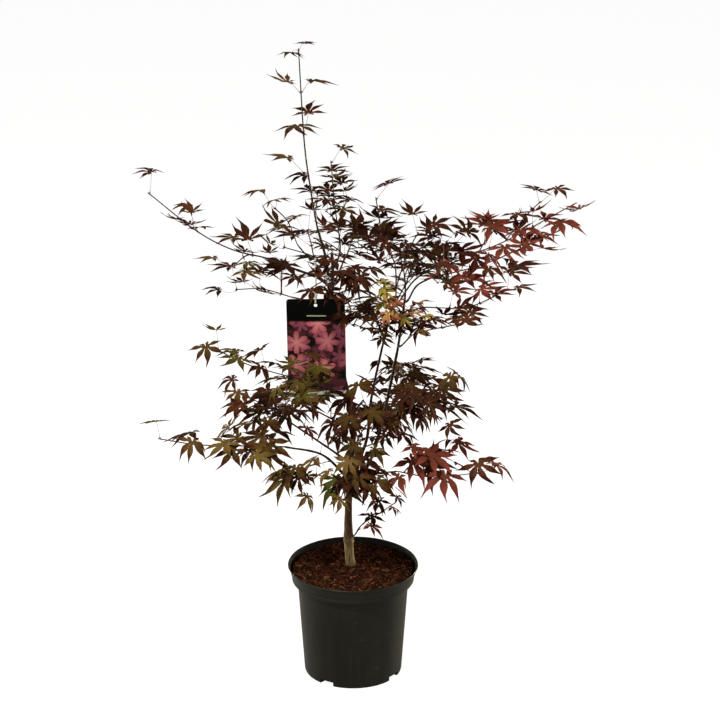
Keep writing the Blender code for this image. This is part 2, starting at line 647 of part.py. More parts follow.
def build_strap():
    """Strap: a closed flat loop through the card's hole and over the upper left bough."""
    path = strap_path()
    across = Vector((STRAP_WIDTH * CM / 2.0, 0.0, 0.0))
    rings = []
    for index, (y, z) in enumerate(path):
        before, after = path[index - 1], path[(index + 1) % len(path)]
        along = Vector((0.0, after[0] - before[0], after[1] - before[1])).normalized()
        thick = along.cross(Vector((1.0, 0.0, 0.0))) * (STRAP_THICKNESS * CM / 2.0)
        right, left = Vector((card_hole().x, y, z)) + across, Vector((card_hole().x, y, z)) - across
        rings.append([right + thick, left + thick, left - thick, right - thick])
    return add_object("label_strap", closed_band("label_strap", rings), "strap")


def closed_band(name, rings):
    """Endless band through rings of equal count."""
    shape = bmesh.new()
    loops = [[shape.verts.new(point) for point in ring] for ring in rings]
    count = len(rings[0])
    for index, lower in enumerate(loops):
        upper = loops[(index + 1) % len(loops)]
        for corner in range(count):
            following = (corner + 1) % count
            shape.faces.new((lower[corner], lower[following], upper[following], upper[corner]))
    bmesh.ops.recalc_face_normals(shape, faces=shape.faces)
    return as_mesh(shape, name)


def triangle_section(centre, along, top, radius):
    """Three points round a centre, square to a direction: the top one, then left and right below it."""
    above = (top - along * top.dot(along)).normalized()
    right = along.cross(above)
    low = centre - above * (radius * 0.5)
    return centre + above * radius, low - right * (radius * 0.866), low + right * (radius * 0.866)


def stalked_leaf(name, pose, stalk_start=0.0):
    """Leaf as one closed mesh: a three-sided stalk that opens into a lobed blade with drooping tips."""
    stalk = (pose.hub - pose.node).normalized()
    bend = (stalk + pose.along).normalized()
    root = pose.node.lerp(pose.hub, stalk_start)
    shape = bmesh.new()
    foot_points = triangle_section(root, stalk, pose.normal, STALK_FOOT * CM)
    head_points = triangle_section(pose.hub, bend, pose.normal, STALK_HEAD * CM)
    foot = [shape.verts.new(point) for point in foot_points]
    head = [shape.verts.new(point) for point in head_points]
    across = pose.along.cross(pose.normal)
    rim = []
    for turn, share in leaf_outline():
        flat = pose.along * math.cos(turn) + across * math.sin(turn)
        sag = pose.normal * (pose.droop * share * share)
        rim.append(shape.verts.new(pose.hub + (flat * share - sag) * pose.length))
    shape.faces.new(foot)
    for corner in range(3):
        following = (corner + 1) % 3
        if corner != 1:
            shape.faces.new((foot[corner], foot[following], head[following], head[corner]))
    shape.faces.new((foot[1], foot[2], head[2], head[1]))
    top, left, right = head
    middle = len(rim) // 2
    for index in range(len(rim) - 1):
        shape.faces.new((top, rim[index], rim[index + 1]))
        shape.faces.new((left if index < middle else right, rim[index], rim[index + 1]))
    shape.faces.new((left, right, rim[middle]))
    shape.faces.new((top, left, rim[0]))
    shape.faces.new((top, right, rim[-1]))
    bmesh.ops.recalc_face_normals(shape, faces=shape.faces)
    return as_mesh(shape, name)


def leaf_outline():
    """Tips of the lobes and the notches between them, as (angle, share of the leaf's length)."""
    outline = []
    for index, (angle, share) in enumerate(LOBES):
        if index:
            outline.append((math.radians((angle + LOBES[index - 1][0]) / 2.0), NOTCH_SHARE))
        outline.append((math.radians(angle), share))
    return outline


class Obstacle:
    """What growth steers clear of: a mesh's search tree in the ball that holds it."""

    def __init__(self, mesh):
        points = [vert.co.copy() for vert in mesh.vertices]
        self.mesh = mesh
        self.centre = sum(points, Vector()) / len(points)
        self.reach = max((point - self.centre).length for point in points)
        self.tree = BVHTree.FromPolygons(points, [list(face.vertices) for face in mesh.polygons])

    def touches(self, other):
        """Whether the surfaces of two obstacles cross."""
        apart = (self.centre - other.centre).length
        return apart < self.reach + other.reach and bool(self.tree.overlap(other.tree))


def point_tree(points):
    """Search tree of points."""
    tree = kdtree.KDTree(len(points))
    for index, point in enumerate(points):
        tree.insert(point, index)
    tree.balance()
    return tree


def shoot_samples(axes):
    """Points about every centimetre along a mass's shoots."""
    samples = []
    for limb, _ in axes:
        steps = max(2, round(limb.length() / CM))
        samples += [limb.place(step / steps)[0] for step in range(steps + 1)]
    return samples


@dataclass(frozen=True)
class Pose:
    """Where a leaf's stalk starts, where its blade starts, and how the blade lies."""

    node: Vector
    hub: Vector
    along: Vector
    normal: Vector
    length: float
    droop: float


def leaf_pose(node, out, along, size, rng):
    """Pose of a leaf: its stalk rises away from the twig and its blade hangs outward."""
    lifted = Vector((out.x, out.y, max(out.z, STALK_LOWEST)))
    reach = (lifted * STALK_OUT + along * STALK_AHEAD + UP * rng.uniform(*STALK_RISE)).normalized()
    hub = node + reach * (PETIOLE_LENGTH * size * rng.uniform(*STALK_SPAN) * CM)
    outward = Vector((hub.x, hub.y, 0.0)).normalized()
    heading = Vector((reach.x, reach.y, 0.0)).normalized() + outward * OUTWARD_PULL
    heading = (Matrix.Rotation(rng.gauss(0.0, HEADING_SPREAD), 3, UP) @ heading).normalized()
    fall = math.radians(rng.uniform(*BLADE_FALL))
    blade = heading * math.cos(fall) - UP * math.sin(fall)
    normal = heading * math.sin(fall) + UP * math.cos(fall)
    normal = (Matrix.Rotation(rng.gauss(0.0, BLADE_ROLL), 3, blade) @ normal).normalized()
    length = LEAF_LENGTH * size * rng.uniform(*BLADE_SPAN) * CM
    return Pose(node, hub, blade, normal, length, LOBE_DROOP * rng.uniform(*DROOP_SPAN))


class Grower:
    """Grows the masses of foliage, each in the space that lies nearest to its own shoots."""

    def __init__(self, limbs):
        self.limbs = limbs
        self.axes = {plan.name: self.plan_axes(plan) for plan in MASSES}
        samples = {name: shoot_samples(axes) for name, axes in self.axes.items()}
        self.own_space = {name: point_tree(points) for name, points in samples.items()}
        self.whole_space = point_tree([point for points in samples.values() for point in points])
        self.obstacles = self.standing_obstacles()

    def plan_axes(self, plan):
        """Stem and side shoots of a mass, as limbs."""
        carrier = self.limbs[plan.carrier]
        turning_points = [Vector(point) * CM for point in plan.route]
        if plan.at < 1.0:
            start, out = seat_on(carrier, plan.at, turning_points[0])
            base = STEM_RADIUS
        else:
            end, out, radius = carrier.place(1.0)
            base = radius / CM
            start = end + out * CLEARANCE
        lift = start + out * (LIFT * base * CM)
        route = smooth_route([start, lift, *turning_points], TWIG_RING_SPACING * CM)
        stem = Limb(plan.name, route, even_taper(route, base, TWIG_TIP_RADIUS))
        axes = [(stem, out)]
        for share, tip, arch in plan.shoots:
            start, _, radius = stem.place(share)
            shoot = arched_route(start, Vector(tip) * CM, arch * CM, TWIG_RING_SPACING * CM)
            girth = min(radius / CM, SHOOT_RADIUS)
            axes.append((Limb(plan.name, shoot, even_taper(shoot, girth, TWIG_TIP_RADIUS)), None))
        return axes

    def standing_obstacles(self):
        """Every limb and shoot, a little stouter than it is, with the label and the pot."""
        obstacles = []
        for limb in self.limbs.values():
            sides = TRUNK_SIDES if limb.owner == "trunk" else BOUGH_SIDES
            obstacles.append(Obstacle(limb_mesh("guard", limb, sides, extra=LIMB_GUARD)))
        shoots = [limb for axes in self.axes.values() for limb, _ in axes]
        obstacles += [Obstacle(limb_mesh("guard", limb, TWIG_SIDES, extra=LIMB_GUARD)) for limb in shoots]
        for obstacle in obstacles:
            bpy.data.meshes.remove(obstacle.mesh)
        others = ("label_card", "label_strap", "nursery_pot")
        return obstacles + [Obstacle(bpy.data.objects[name].data) for name in others]

    def fits(self, name, mesh):
        """The mesh as an obstacle if it keeps to the mass's space and touches nothing, or None."""
        own, whole = self.own_space[name], self.whole_space
        points = [vert.co for vert in mesh.vertices]
        if any(own.find(point)[2] > whole.find(point)[2] + SEAM * CM for point in points):
            return None
        probe = Obstacle(mesh)
        return None if any(other.touches(probe) for other in self.obstacles) else probe

    def leaf(self, plan, address, node, out, along, size):
        """A leaf on its stalk from a node of a twig, in the first of a few poses that fits, or none."""
        for attempt in range(POSE_TRIES):
            rng = random.Random(f"{plan.name} {address} {attempt}")
            pose = leaf_pose(node, out, along, size, rng)
            probe = stalked_leaf("probe", pose, stalk_start=STALK_TESTED_FROM)
            room = self.fits(plan.name, probe)
            bpy.data.meshes.remove(probe)
            if room:
                self.obstacles.append(room)
                return [stalked_leaf("leaf", pose)]
        return []

    def dress(self, plan, address, limb, first, depth):
        """Leaf pairs along a shoot, turned from one pair to the next, with side twigs at some."""
        rng = random.Random(f"{plan.name} {address}")
        pieces = []
        length = limb.length() / CM
        spacing = INTERNODE * (0.75 + 0.25 * plan.leaf)
        count = max(1, round((length - first) / spacing))
        quarter = rng.choice((0, 1))
        for index in range(count + 1):
            reach = first + (length - first) * index / count
            node, along, _ = limb.place(min(reach / length, 0.995))
            level = along.cross(UP)
            if level.length < UPRIGHT_LIMIT:
                level = Vector((1.0, 0.0, 0.0)) - along * along.x
            level.normalize()
            raised = level.cross(along)
            quarter_turn = LEVEL_PAIR_TURN + (90.0 - LEVEL_PAIR_TURN) * abs(along.z)
            wobble = rng.uniform(-PAIR_WOBBLE, PAIR_WOBBLE)
            turn = math.radians(quarter_turn * ((index + quarter) % 2) + wobble)
            out = level * math.cos(turn) + raised * math.sin(turn)
            taper = plan.leaf * (1.0 - TIP_SHRINK * (index / count) ** 2)
            for side in (1.0, -1.0):
                wants_twig = depth > 0 and index < count and rng.random() < TWIG_CHANCE * plan.vigour
                place = f"{address}.{index}.{side}"
                branch = self.twig(plan, place, node, out * side, along, depth) if wants_twig else []
                pieces += branch or self.leaf(plan, place, node, out * side, along, taper)
        return pieces

    def twig(self, plan, address, node, out, along, depth):
        """A short side twig with its own leaves, or none where it doesn't fit."""
        rng = random.Random(f"{plan.name} {address} twig")
        way = ((out + along) * TWIG_SPREAD + UP * TWIG_RISE).normalized()
        tip = node + way * (TWIG_REACH * plan.leaf * rng.uniform(*TWIG_SPAN) * CM)
        route = arched_route(node, tip, TWIG_ARCH * CM, TWIG_RING_SPACING * CM)
        limb = Limb(plan.name, route, even_taper(route, TWIG_TIP_RADIUS + 0.01, TWIG_TIP_RADIUS))
        free_part = Limb(plan.name, [node.lerp(tip, STALK_TESTED_FROM), tip], limb.radii[:2])
        probe = limb_mesh("probe", free_part, TWIG_SIDES)
        room = self.fits(plan.name, probe)
        bpy.data.meshes.remove(probe)
        if not room:
            return []
        self.obstacles.append(room)
        leaves = self.dress(plan, address, limb, TWIG_REACH * TWIG_DRESSED_FROM, depth - 1)
        return [limb_mesh("twig", limb, TWIG_SIDES), *leaves]

    def grow(self, plan):
        """All the closed pieces of a mass."""
        axes = self.axes[plan.name]
        pieces = [limb_mesh("shoot", limb, TWIG_SIDES, first_normal=seat) for limb, seat in axes]
        for index, (limb, _) in enumerate(axes):
            pieces += self.dress(plan, str(index), limb, FIRST_NODE * INTERNODE, 1)
        return pieces


def fuse(name, pieces, finish_name):
    """Unite a mass's closed pieces into one body and drop what doesn't hang together with its stem."""
    item = add_object(name, pieces[0], finish_name)
    others = bpy.data.collections.new(f"{name}_pieces")
    bpy.context.scene.collection.children.link(others)
    for index, piece in enumerate(pieces[1:]):
        others.objects.link(bpy.data.objects.new(f"{name}_piece_{index}", piece))
    union = item.modifiers.new("union", "BOOLEAN")
    union.operation = "UNION"
    union.operand_type = "COLLECTION"
    union.collection = others
    union.solver = "MANIFOLD"
    evaluated = item.evaluated_get(bpy.context.evaluated_depsgraph_get())
    fused = bpy.data.meshes.new_from_object(evaluated)
    item.modifiers.clear()
    item.data = fused
    for piece in list(others.objects):
        bpy.data.objects.remove(piece, do_unlink=True)
    bpy.data.collections.remove(others)
    keep_largest_body(fused)
    fused.name = name
    fused.materials.clear()
    fused.materials.append(finish(finish_name))
    return item


def keep_largest_body(mesh):
    """Leave only the largest closed body of a mesh: scraps and sealed hollows go."""
    shape = bmesh.new()
    shape.from_mesh(mesh)
    bmesh.ops.triangulate(shape, faces=shape.faces)
    remaining = set(shape.faces)
    bodies = []
    while remaining:
        body = [remaining.pop()]
        for face in body:
            paired = [edge for edge in face.edges if len(edge.link_faces) == 2]
            joined = {other for edge in paired for other in edge.link_faces} & remaining
            remaining -= joined
            body.extend(joined)
        bodies.append(body)
    largest = max(bodies, key=len)
    scraps = [face for body in bodies if body is not largest for face in body]
    bmesh.ops.delete(shape, geom=scraps, context="FACES")
    shape.to_mesh(mesh)
    shape.free()


def main():
    """Build the pot, the woody frame, the label and then the foliage."""
    remove_all_objects()
    build_pot()
    build_medium()
    limbs = {"trunk": build_trunk()}
    build_boughs(limbs)
    build_card()
    build_strap()
    grower = Grower(limbs)
    for plan in MASSES:
        fuse(plan.name, grower.grow(plan), plan.tint)


main()
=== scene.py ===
"""Dressed model of a young Japanese maple in its nursery pot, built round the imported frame.

Metres, +Z up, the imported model's own frame. The tables of limbs and masses are in centimetres, as in the
part's source. The foliage grows by that source's seeded rule, carried on to finer twigs.
"""

import itertools
import json
import logging
import math
import random
from collections.abc import Callable, Sequence
from dataclasses import dataclass, field, replace
from enum import Enum

import bpy
import numpy as np
from mathutils import Matrix, Vector, kdtree
from mathutils.bvhtree import BVHTree

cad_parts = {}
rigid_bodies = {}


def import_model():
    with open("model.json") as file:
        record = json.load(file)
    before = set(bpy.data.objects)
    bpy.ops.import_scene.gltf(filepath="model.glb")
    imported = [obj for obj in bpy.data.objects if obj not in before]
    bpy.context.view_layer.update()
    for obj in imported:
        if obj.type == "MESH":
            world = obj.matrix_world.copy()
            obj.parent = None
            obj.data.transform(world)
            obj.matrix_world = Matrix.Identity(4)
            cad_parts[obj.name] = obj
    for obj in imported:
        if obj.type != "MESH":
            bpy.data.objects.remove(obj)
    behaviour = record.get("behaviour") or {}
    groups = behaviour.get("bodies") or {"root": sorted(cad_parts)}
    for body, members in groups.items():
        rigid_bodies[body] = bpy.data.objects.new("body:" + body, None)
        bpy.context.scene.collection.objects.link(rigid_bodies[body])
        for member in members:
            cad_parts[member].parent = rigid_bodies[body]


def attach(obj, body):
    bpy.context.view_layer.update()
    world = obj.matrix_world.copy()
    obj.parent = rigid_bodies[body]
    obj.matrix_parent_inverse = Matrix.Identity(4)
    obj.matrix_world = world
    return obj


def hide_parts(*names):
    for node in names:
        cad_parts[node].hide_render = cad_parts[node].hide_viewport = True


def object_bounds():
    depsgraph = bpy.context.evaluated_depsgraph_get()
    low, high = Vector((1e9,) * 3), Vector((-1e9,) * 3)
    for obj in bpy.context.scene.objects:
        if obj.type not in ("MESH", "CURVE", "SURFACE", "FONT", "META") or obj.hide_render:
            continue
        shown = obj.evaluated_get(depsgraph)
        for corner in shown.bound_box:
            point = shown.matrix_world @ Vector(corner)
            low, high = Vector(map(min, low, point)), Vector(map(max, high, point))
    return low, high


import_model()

CAD_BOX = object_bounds()
CM = 0.01
SEAT_GAP = 0.00036
# Corners of the blocks round the strap and the pot that the leaves keep clear of.
STRAP_BOX = ((-0.079, -0.021, 0.84), (-0.069, -0.009, 0.944))
POT_BOX = ((-0.13, -0.13, 0.0), (0.13, 0.13, 0.248))
UP = Vector((0.0, 0.0, 1.0))
LIGHT = Vector((0.0, -1.0, 0.0))
Colour = tuple[float, float, float]
Point = tuple[float, float, float]
Array = np.ndarray
Piece = bpy.types.Object
Material = bpy.types.Material
Socket = bpy.types.NodeSocket
log = logging.getLogger("maple")


# ---- tables of limbs and masses


@dataclass(frozen=True)
class BoughPlan:
    """A tapering limb: its parent, where it leaves it, its turning points and its end radii."""

    name: str
    parent: str
    at: float
    route: tuple
    base: float
    tip: float


@dataclass(frozen=True)
class Holding:
    """How leaves are held: fall of the blade (degrees), roll, stalk, bends, and turn to the light."""

    fall: tuple
    roll: float
    stalk: tuple
    bends: tuple
    facing: float = 0.0


class Habit(Enum):
    """Ways in which leaves are held, from flat to hanging."""

    FLAT = Holding((-14.0, 8.0), 0.15, (0.9, 1.6), (0, 1, 1, 2))
    LEVEL = Holding((-20.0, 12.0), 0.24, (0.85, 1.5), (0, 1, 1, 2))
    EASY = Holding((-12.0, 30.0), 0.32, (0.75, 1.35), (0, 1, 2, 3))
    HANGING = Holding((6.0, 40.0), 0.3, (0.75, 1.35), (1, 1, 2, 3, 4), 0.15)


class Mix(Enum):
    """How the leaves of a mass are coloured."""

    DUSK = "dusk"
    WINE = "wine"
    EARTH = "earth"
    OLIVE = "olive"
    MOSS = "moss"
    YOUNG = "young"


@dataclass(frozen=True)
class MassPlan:
    """A mass of foliage: its carrier, its stem's turning points, its side shoots and its leaves."""

    name: str
    carrier: str
    route: tuple
    shoots: tuple = ()
    at: float = 1.0
    leaf: float = 1.0
    vigour: float = 1.0
    slot: str = "leaf_dark"
    mix: Mix = Mix.DUSK
    habit: Habit = Habit.LEVEL
    gap: float = 1.0


TRUNK_ROUTE = (
    (-0.5, 1.5, 23.53), (-0.9, 1.5, 29.5), (-0.9, 1.5, 38.9), (-0.4, 1.0, 48.0), (0.1, 0.4, 58.0),
    (-1.5, 1.0, 65.4), (-3.3, 2.0, 75.1), (-4.4, 2.0, 84.0), (-4.1, 2.0, 89.4), (-4.3, 2.0, 94.2),
)
TRUNK_GIRTH = (
    (23.5, 1.3), (25.2, 0.98), (28.0, 1.0), (29.8, 1.12), (32.2, 0.84),
    (40.0, 0.76), (48.0, 0.62), (60.0, 0.5), (80.0, 0.42), (94.2, 0.3),
)

BOUGHS = (
    BoughPlan("leader_bough", "trunk", 0.93, ((-5.6, 2.0, 93.4), (-7.2, 2.0, 99.5)), 0.34, 0.24),
    BoughPlan("second_leader_bough", "trunk", 0.955, ((-2.6, 3.6, 94.2), (-2.8, 4.0, 97.5)), 0.22, 0.17),
    BoughPlan("upper_left_bough", "leader_bough", 0.3,
        ((-6.0, -1.3, 93.2), (-9.0, -1.7, 94.6), (-11.2, -2.4, 97.4)), 0.17, 0.14),
    BoughPlan("left_high_bough", "trunk", 0.9,
        ((-7.0, 2.4, 88.6), (-12.0, 1.2, 91.0), (-18.0, -1.0, 94.2)), 0.32, 0.2),
    BoughPlan("left_rear_bough", "trunk", 0.845, ((-8.5, 5.5, 82.4), (-12.8, 8.0, 82.4)), 0.22, 0.16),
    BoughPlan("left_green_bough", "trunk", 0.55,
        ((0.0, -3.4, 64.4), (-4.6, -7.4, 67.6), (-10.8, -10.0, 71.0)), 0.22, 0.16),
    BoughPlan("left_low_bough", "trunk", 0.3, ((-6.5, -3.5, 51.5), (-14.1, -7.0, 54.7)), 0.3, 0.2),
    BoughPlan("left_inner_bough", "trunk", 0.345, ((-6.0, 2.6, 51.0), (-13.0, 4.0, 55.5)), 0.26, 0.18),
    BoughPlan("right_front_stem", "trunk", 0.255,
        ((1.6, -0.2, 45.0), (4.2, -1.0, 50.5), (7.0, -1.2, 62.0), (9.6, -1.0, 76.0),
         (10.8, -1.0, 86.0)), 0.4, 0.24),
    BoughPlan("right_rear_stem", "trunk", 0.285,
        ((1.0, 3.2, 46.5), (3.0, 4.4, 52.0), (3.9, 4.6, 61.0), (6.5, 4.6, 74.0),
         (8.9, 4.4, 83.5)), 0.36, 0.2),
    BoughPlan("right_high_bough", "right_front_stem", 0.97,
        ((13.0, -1.5, 88.2), (16.0, -2.2, 90.2)), 0.2, 0.18),
    BoughPlan("right_upper_bough", "right_rear_stem", 0.955,
        ((12.6, 4.6, 87.2), (16.4, 4.9, 89.8)), 0.19, 0.17),
    BoughPlan("right_mid_bough", "right_rear_stem", 0.86,
        ((13.5, 6.0, 80.6), (17.5, 6.5, 80.6)), 0.17, 0.14),
    BoughPlan("right_shoulder_bough", "right_front_stem", 0.76, ((12.2, -4.0, 78.4),), 0.18, 0.15),
    BoughPlan("right_inner_bough", "right_front_stem", 0.36,
        ((7.4, -4.6, 61.0), (9.8, -7.5, 64.2)), 0.18, 0.15),
    BoughPlan("right_low_bough", "trunk", 0.27, ((3.0, -5.5, 47.6), (9.0, -8.0, 49.6)), 0.22, 0.16),
    BoughPlan("young_bough", "right_front_stem", 0.88, ((9.8, -4.8, 84.0), (8.8, -7.5, 86.0)), 0.15, 0.13),
    BoughPlan("crown_front_bough", "trunk", 0.915, ((-4.0, -2.2, 91.0), (-3.4, -6.0, 93.0)), 0.2, 0.15),
    BoughPlan("crown_rear_bough", "trunk", 0.88, ((-3.4, 8.0, 86.6), (-2.2, 13.0, 88.0)), 0.24, 0.17),
    BoughPlan("knot_rear_bough", "right_rear_stem", 0.9,
        ((9.4, 9.0, 81.6), (11.0, 14.0, 82.8)), 0.18, 0.15),
    BoughPlan("inner_rear_bough", "right_rear_stem", 0.42,
        ((6.0, 9.0, 57.8), (8.4, 13.0, 58.4)), 0.2, 0.15),
    BoughPlan("low_rear_bough", "trunk", 0.37, ((0.8, 6.5, 50.0), (1.8, 12.0, 50.0)), 0.24, 0.17),
    BoughPlan("left_rear_low_bough", "trunk", 0.45, ((-4.0, 7.5, 54.8), (-8.0, 13.5, 54.5)), 0.22, 0.16),
    BoughPlan("centre_front_bough", "trunk", 0.5, ((0.6, -3.6, 61.6), (2.0, -8.0, 65.5)), 0.18, 0.14),
)

MASSES = (
    MassPlan("top_foliage", "leader_bough", ((-8.6, 2.0, 108.0), (-9.8, 2.0, 118.0), (-10.8, 2.0, 137.0)),
        leaf=0.95, vigour=0.15, mix=Mix.EARTH, habit=Habit.FLAT, gap=1.75),
    MassPlan("second_top_foliage", "second_leader_bough", ((-3.7, 4.0, 104.0), (-4.4, 4.0, 113.0)),
        ((0.15, (1.0, 3.0, 98.5), 0.6),),
        leaf=0.95, vigour=0.25, mix=Mix.EARTH, habit=Habit.FLAT, gap=1.5),
    MassPlan("upper_left_foliage", "upper_left_bough", ((-13.1, -4.0, 103.0), (-15.6, -5.0, 106.0)),
        leaf=0.95, vigour=0.2, mix=Mix.EARTH, gap=1.4),
    MassPlan("centre_high_foliage", "trunk", ((-0.4, 0.6, 82.0), (1.6, -4.5, 82.8), (4.2, -13.0, 83.4)),
        ((0.5, (0.2, -13.5, 84.0), 0.4),),
        at=0.825, vigour=0.6, mix=Mix.EARTH, habit=Habit.EASY, gap=1.15),
    MassPlan("crown_left_foliage", "trunk", ((-8.0, 5.4, 92.2), (-14.2, 8.0, 93.4)),
        ((0.45, (-9.4, 11.0, 95.6), 0.6),),
        at=0.94, vigour=0.35, mix=Mix.EARTH, gap=1.55),
    MassPlan("left_high_foliage", "left_high_bough",
        ((-24.5, -3.0, 96.6), (-31.6, -4.0, 100.9), (-41.0, -4.5, 109.0)),
        ((0.12, (-24.0, -8.0, 94.6), 0.5),),
        leaf=0.8, vigour=0.08, mix=Mix.EARTH, habit=Habit.FLAT, gap=2.8),
    MassPlan("left_rear_foliage", "left_rear_bough", ((-19.0, 12.0, 82.8), (-24.6, 14.5, 81.8)),
        ((0.2, (-15.0, 16.0, 88.0), 1.0),),
        leaf=0.92, vigour=0.3, mix=Mix.EARTH, habit=Habit.FLAT, gap=1.45),
    MassPlan("left_green_foliage", "left_green_bough",
        ((-16.2, -13.0, 73.7), (-21.8, -15.0, 76.4), (-27.1, -16.0, 79.6)),
        ((0.15, (-13.4, -17.5, 70.4), 0.3), (0.06, (-6.8, -14.0, 70.4), 0.4)),
        leaf=0.92, vigour=0.15, slot="leaf_green", mix=Mix.MOSS, habit=Habit.EASY, gap=1.5),
    MassPlan("left_low_foliage", "left_low_bough",
        ((-24.0, -10.0, 56.2), (-32.0, -12.0, 57.3), (-39.6, -13.0, 59.0)),
        ((0.2, (-22.0, -14.4, 55.6), 0.4), (0.08, (-20.0, -4.4, 57.4), 0.4)),
        leaf=1.1, vigour=0.25, slot="leaf_olive", mix=Mix.OLIVE, habit=Habit.HANGING, gap=1.95),
    MassPlan("left_inner_foliage", "left_inner_bough", ((-17.9, 2.6, 59.8), (-23.6, 0.5, 63.6)),
        ((0.15, (-22.0, 5.5, 57.0), 0.6), (0.3, (-14.0, -2.6, 61.6), 0.5)),
        leaf=1.08, vigour=0.35, mix=Mix.EARTH, habit=Habit.HANGING, gap=2.4),
    MassPlan("lowest_left_foliage", "trunk",
        ((-3.6, -3.0, 45.4), (-8.0, -7.0, 48.4), (-11.0, -10.0, 49.2)),
        at=0.245, vigour=0.45, mix=Mix.OLIVE, habit=Habit.HANGING),
    MassPlan("front_low_foliage", "trunk", ((0.8, -6.0, 49.4), (2.0, -13.0, 54.0)),
        ((0.5, (5.6, -12.0, 51.0), 0.4), (0.4, (-3.4, -12.6, 49.0), 0.4)),
        at=0.325, leaf=1.1, vigour=0.5, slot="leaf_olive", mix=Mix.OLIVE, habit=Habit.HANGING, gap=1.05),
    MassPlan("centre_right_foliage", "trunk", ((3.4, -3.0, 53.4), (7.4, -6.0, 56.0)),
        at=0.385, vigour=0.3, habit=Habit.HANGING, gap=1.5),
    MassPlan("right_low_foliage", "right_low_bough", ((16.4, -11.0, 49.6), (25.6, -14.0, 51.8)),
        ((0.3, (20.0, -8.0, 54.0), 0.5), (0.1, (13.0, -12.0, 53.0), 0.5)),
        leaf=1.05, vigour=0.2, slot="leaf_red", mix=Mix.WINE, habit=Habit.HANGING, gap=2.05),
    MassPlan("lowest_right_foliage", "trunk", ((1.9, -0.2, 33.9), (5.7, -2.0, 37.4), (8.9, -3.0, 40.2)),
        at=0.1, leaf=0.62, vigour=0.3, mix=Mix.WINE, habit=Habit.HANGING),
    MassPlan("right_inner_foliage", "right_inner_bough", ((13.6, -10.0, 66.2), (19.9, -11.5, 70.6)),
        ((0.2, (18.0, -13.0, 63.6), 0.5), (0.4, (13.4, -15.0, 67.6), 0.5)),
        leaf=1.02, vigour=0.2, habit=Habit.HANGING, gap=2.6),
    MassPlan("right_shoulder_foliage", "right_shoulder_bough", ((15.8, -6.0, 80.3), (22.4, -8.0, 82.4)),
        leaf=0.95, vigour=0.2, mix=Mix.EARTH, habit=Habit.EASY, gap=1.2),
    MassPlan("right_mid_foliage", "right_mid_bough", ((24.4, 7.0, 80.6), (32.4, 8.0, 84.0)),
        leaf=0.95, vigour=0.25, mix=Mix.WINE, gap=1.5),
    MassPlan("right_high_foliage", "right_high_bough",
        ((21.0, -3.0, 91.8), (28.0, -4.0, 94.3), (41.6, -6.0, 101.6)),
        ((0.12, (19.6, -8.6, 91.4), 0.4), (0.32, (28.4, -9.8, 93.8), 0.5),
         (0.56, (35.4, -10.6, 99.0), 0.5)),
        leaf=1.1, vigour=0.25, slot="leaf_red", mix=Mix.WINE, habit=Habit.EASY, gap=1.95),
    MassPlan("right_upper_foliage", "right_upper_bough",
        ((22.0, 5.4, 92.0), (31.0, 6.4, 95.0), (46.0, 9.0, 102.6)),
        ((0.12, (19.6, 9.8, 94.0), 0.5), (0.32, (30.0, 12.0, 96.0), 0.6),
         (0.5, (39.0, 13.0, 101.6), 0.5)),
        leaf=1.05, vigour=0.2, slot="leaf_red", mix=Mix.WINE, gap=1.9),
    MassPlan("knot_foliage", "right_rear_stem", ((8.7, 3.6, 91.5), (6.4, 4.0, 95.5), (4.8, 4.6, 105.0)),
        ((0.1, (13.4, 2.0, 98.4), 1.4), (0.3, (3.0, 7.0, 92.5), 0.5)),
        vigour=0.4, gap=1.4),
    MassPlan("knot_front_foliage", "right_front_stem", ((10.6, -3.0, 91.0), (9.6, -7.0, 97.0)),
        vigour=0.4, gap=1.25),
    MassPlan("young_foliage", "young_bough", ((8.2, -10.5, 86.0), (8.9, -14.5, 86.0)),
        ((0.3, (12.5, -12.0, 85.0), 0.4),),
        leaf=0.66, slot="leaf_young", mix=Mix.YOUNG, habit=Habit.EASY, gap=0.8),
    MassPlan("crown_front_foliage", "crown_front_bough", ((-3.2, -11.0, 93.8), (-4.0, -19.0, 93.4)),
        ((0.35, (1.6, -14.0, 94.2), 0.6), (0.5, (-9.0, -17.0, 92.6), 0.6)),
        leaf=1.05, vigour=0.15, habit=Habit.EASY, gap=1.4),
    MassPlan("crown_rear_foliage", "crown_rear_bough", ((-0.8, 19.0, 89.2), (0.0, 27.0, 90.0)),
        ((0.2, (-8.0, 21.0, 91.0), 0.8), (0.45, (6.0, 24.0, 87.4), 0.5)),
        leaf=0.92, vigour=0.7, gap=1.1),
    MassPlan("knot_rear_foliage", "knot_rear_bough", ((12.4, 20.0, 84.0), (14.0, 27.0, 84.4)),
        ((0.3, (19.0, 19.0, 85.6), 0.6),),
        leaf=0.92, vigour=0.7, habit=Habit.EASY, gap=1.1),
    MassPlan("inner_rear_foliage", "inner_rear_bough", ((10.6, 18.0, 58.6), (12.0, 25.0, 58.0)),
        ((0.3, (17.0, 18.5, 58.0), 0.6),),
        vigour=0.35, mix=Mix.EARTH, habit=Habit.HANGING, gap=1.15),
    MassPlan("low_rear_foliage", "low_rear_bough", ((2.4, 18.0, 48.6), (3.4, 26.0, 46.6)),
        ((0.3, (8.0, 20.0, 46.6), 0.5),),
        vigour=0.5, mix=Mix.EARTH, habit=Habit.HANGING),
    MassPlan("left_rear_low_foliage", "left_rear_low_bough", ((-12.0, 19.0, 52.4), (-16.4, 24.0, 50.6)),
        ((0.3, (-17.6, 15.0, 51.6), 0.5),),
        vigour=0.55, mix=Mix.EARTH, habit=Habit.HANGING, gap=1.05),
    MassPlan("centre_front_foliage", "centre_front_bough", ((2.6, -13.0, 66.6), (2.0, -18.0, 66.0)),
        ((0.2, (-1.6, -14.0, 62.4), 0.4),),
        vigour=0.25, habit=Habit.HANGING, gap=1.75),
)

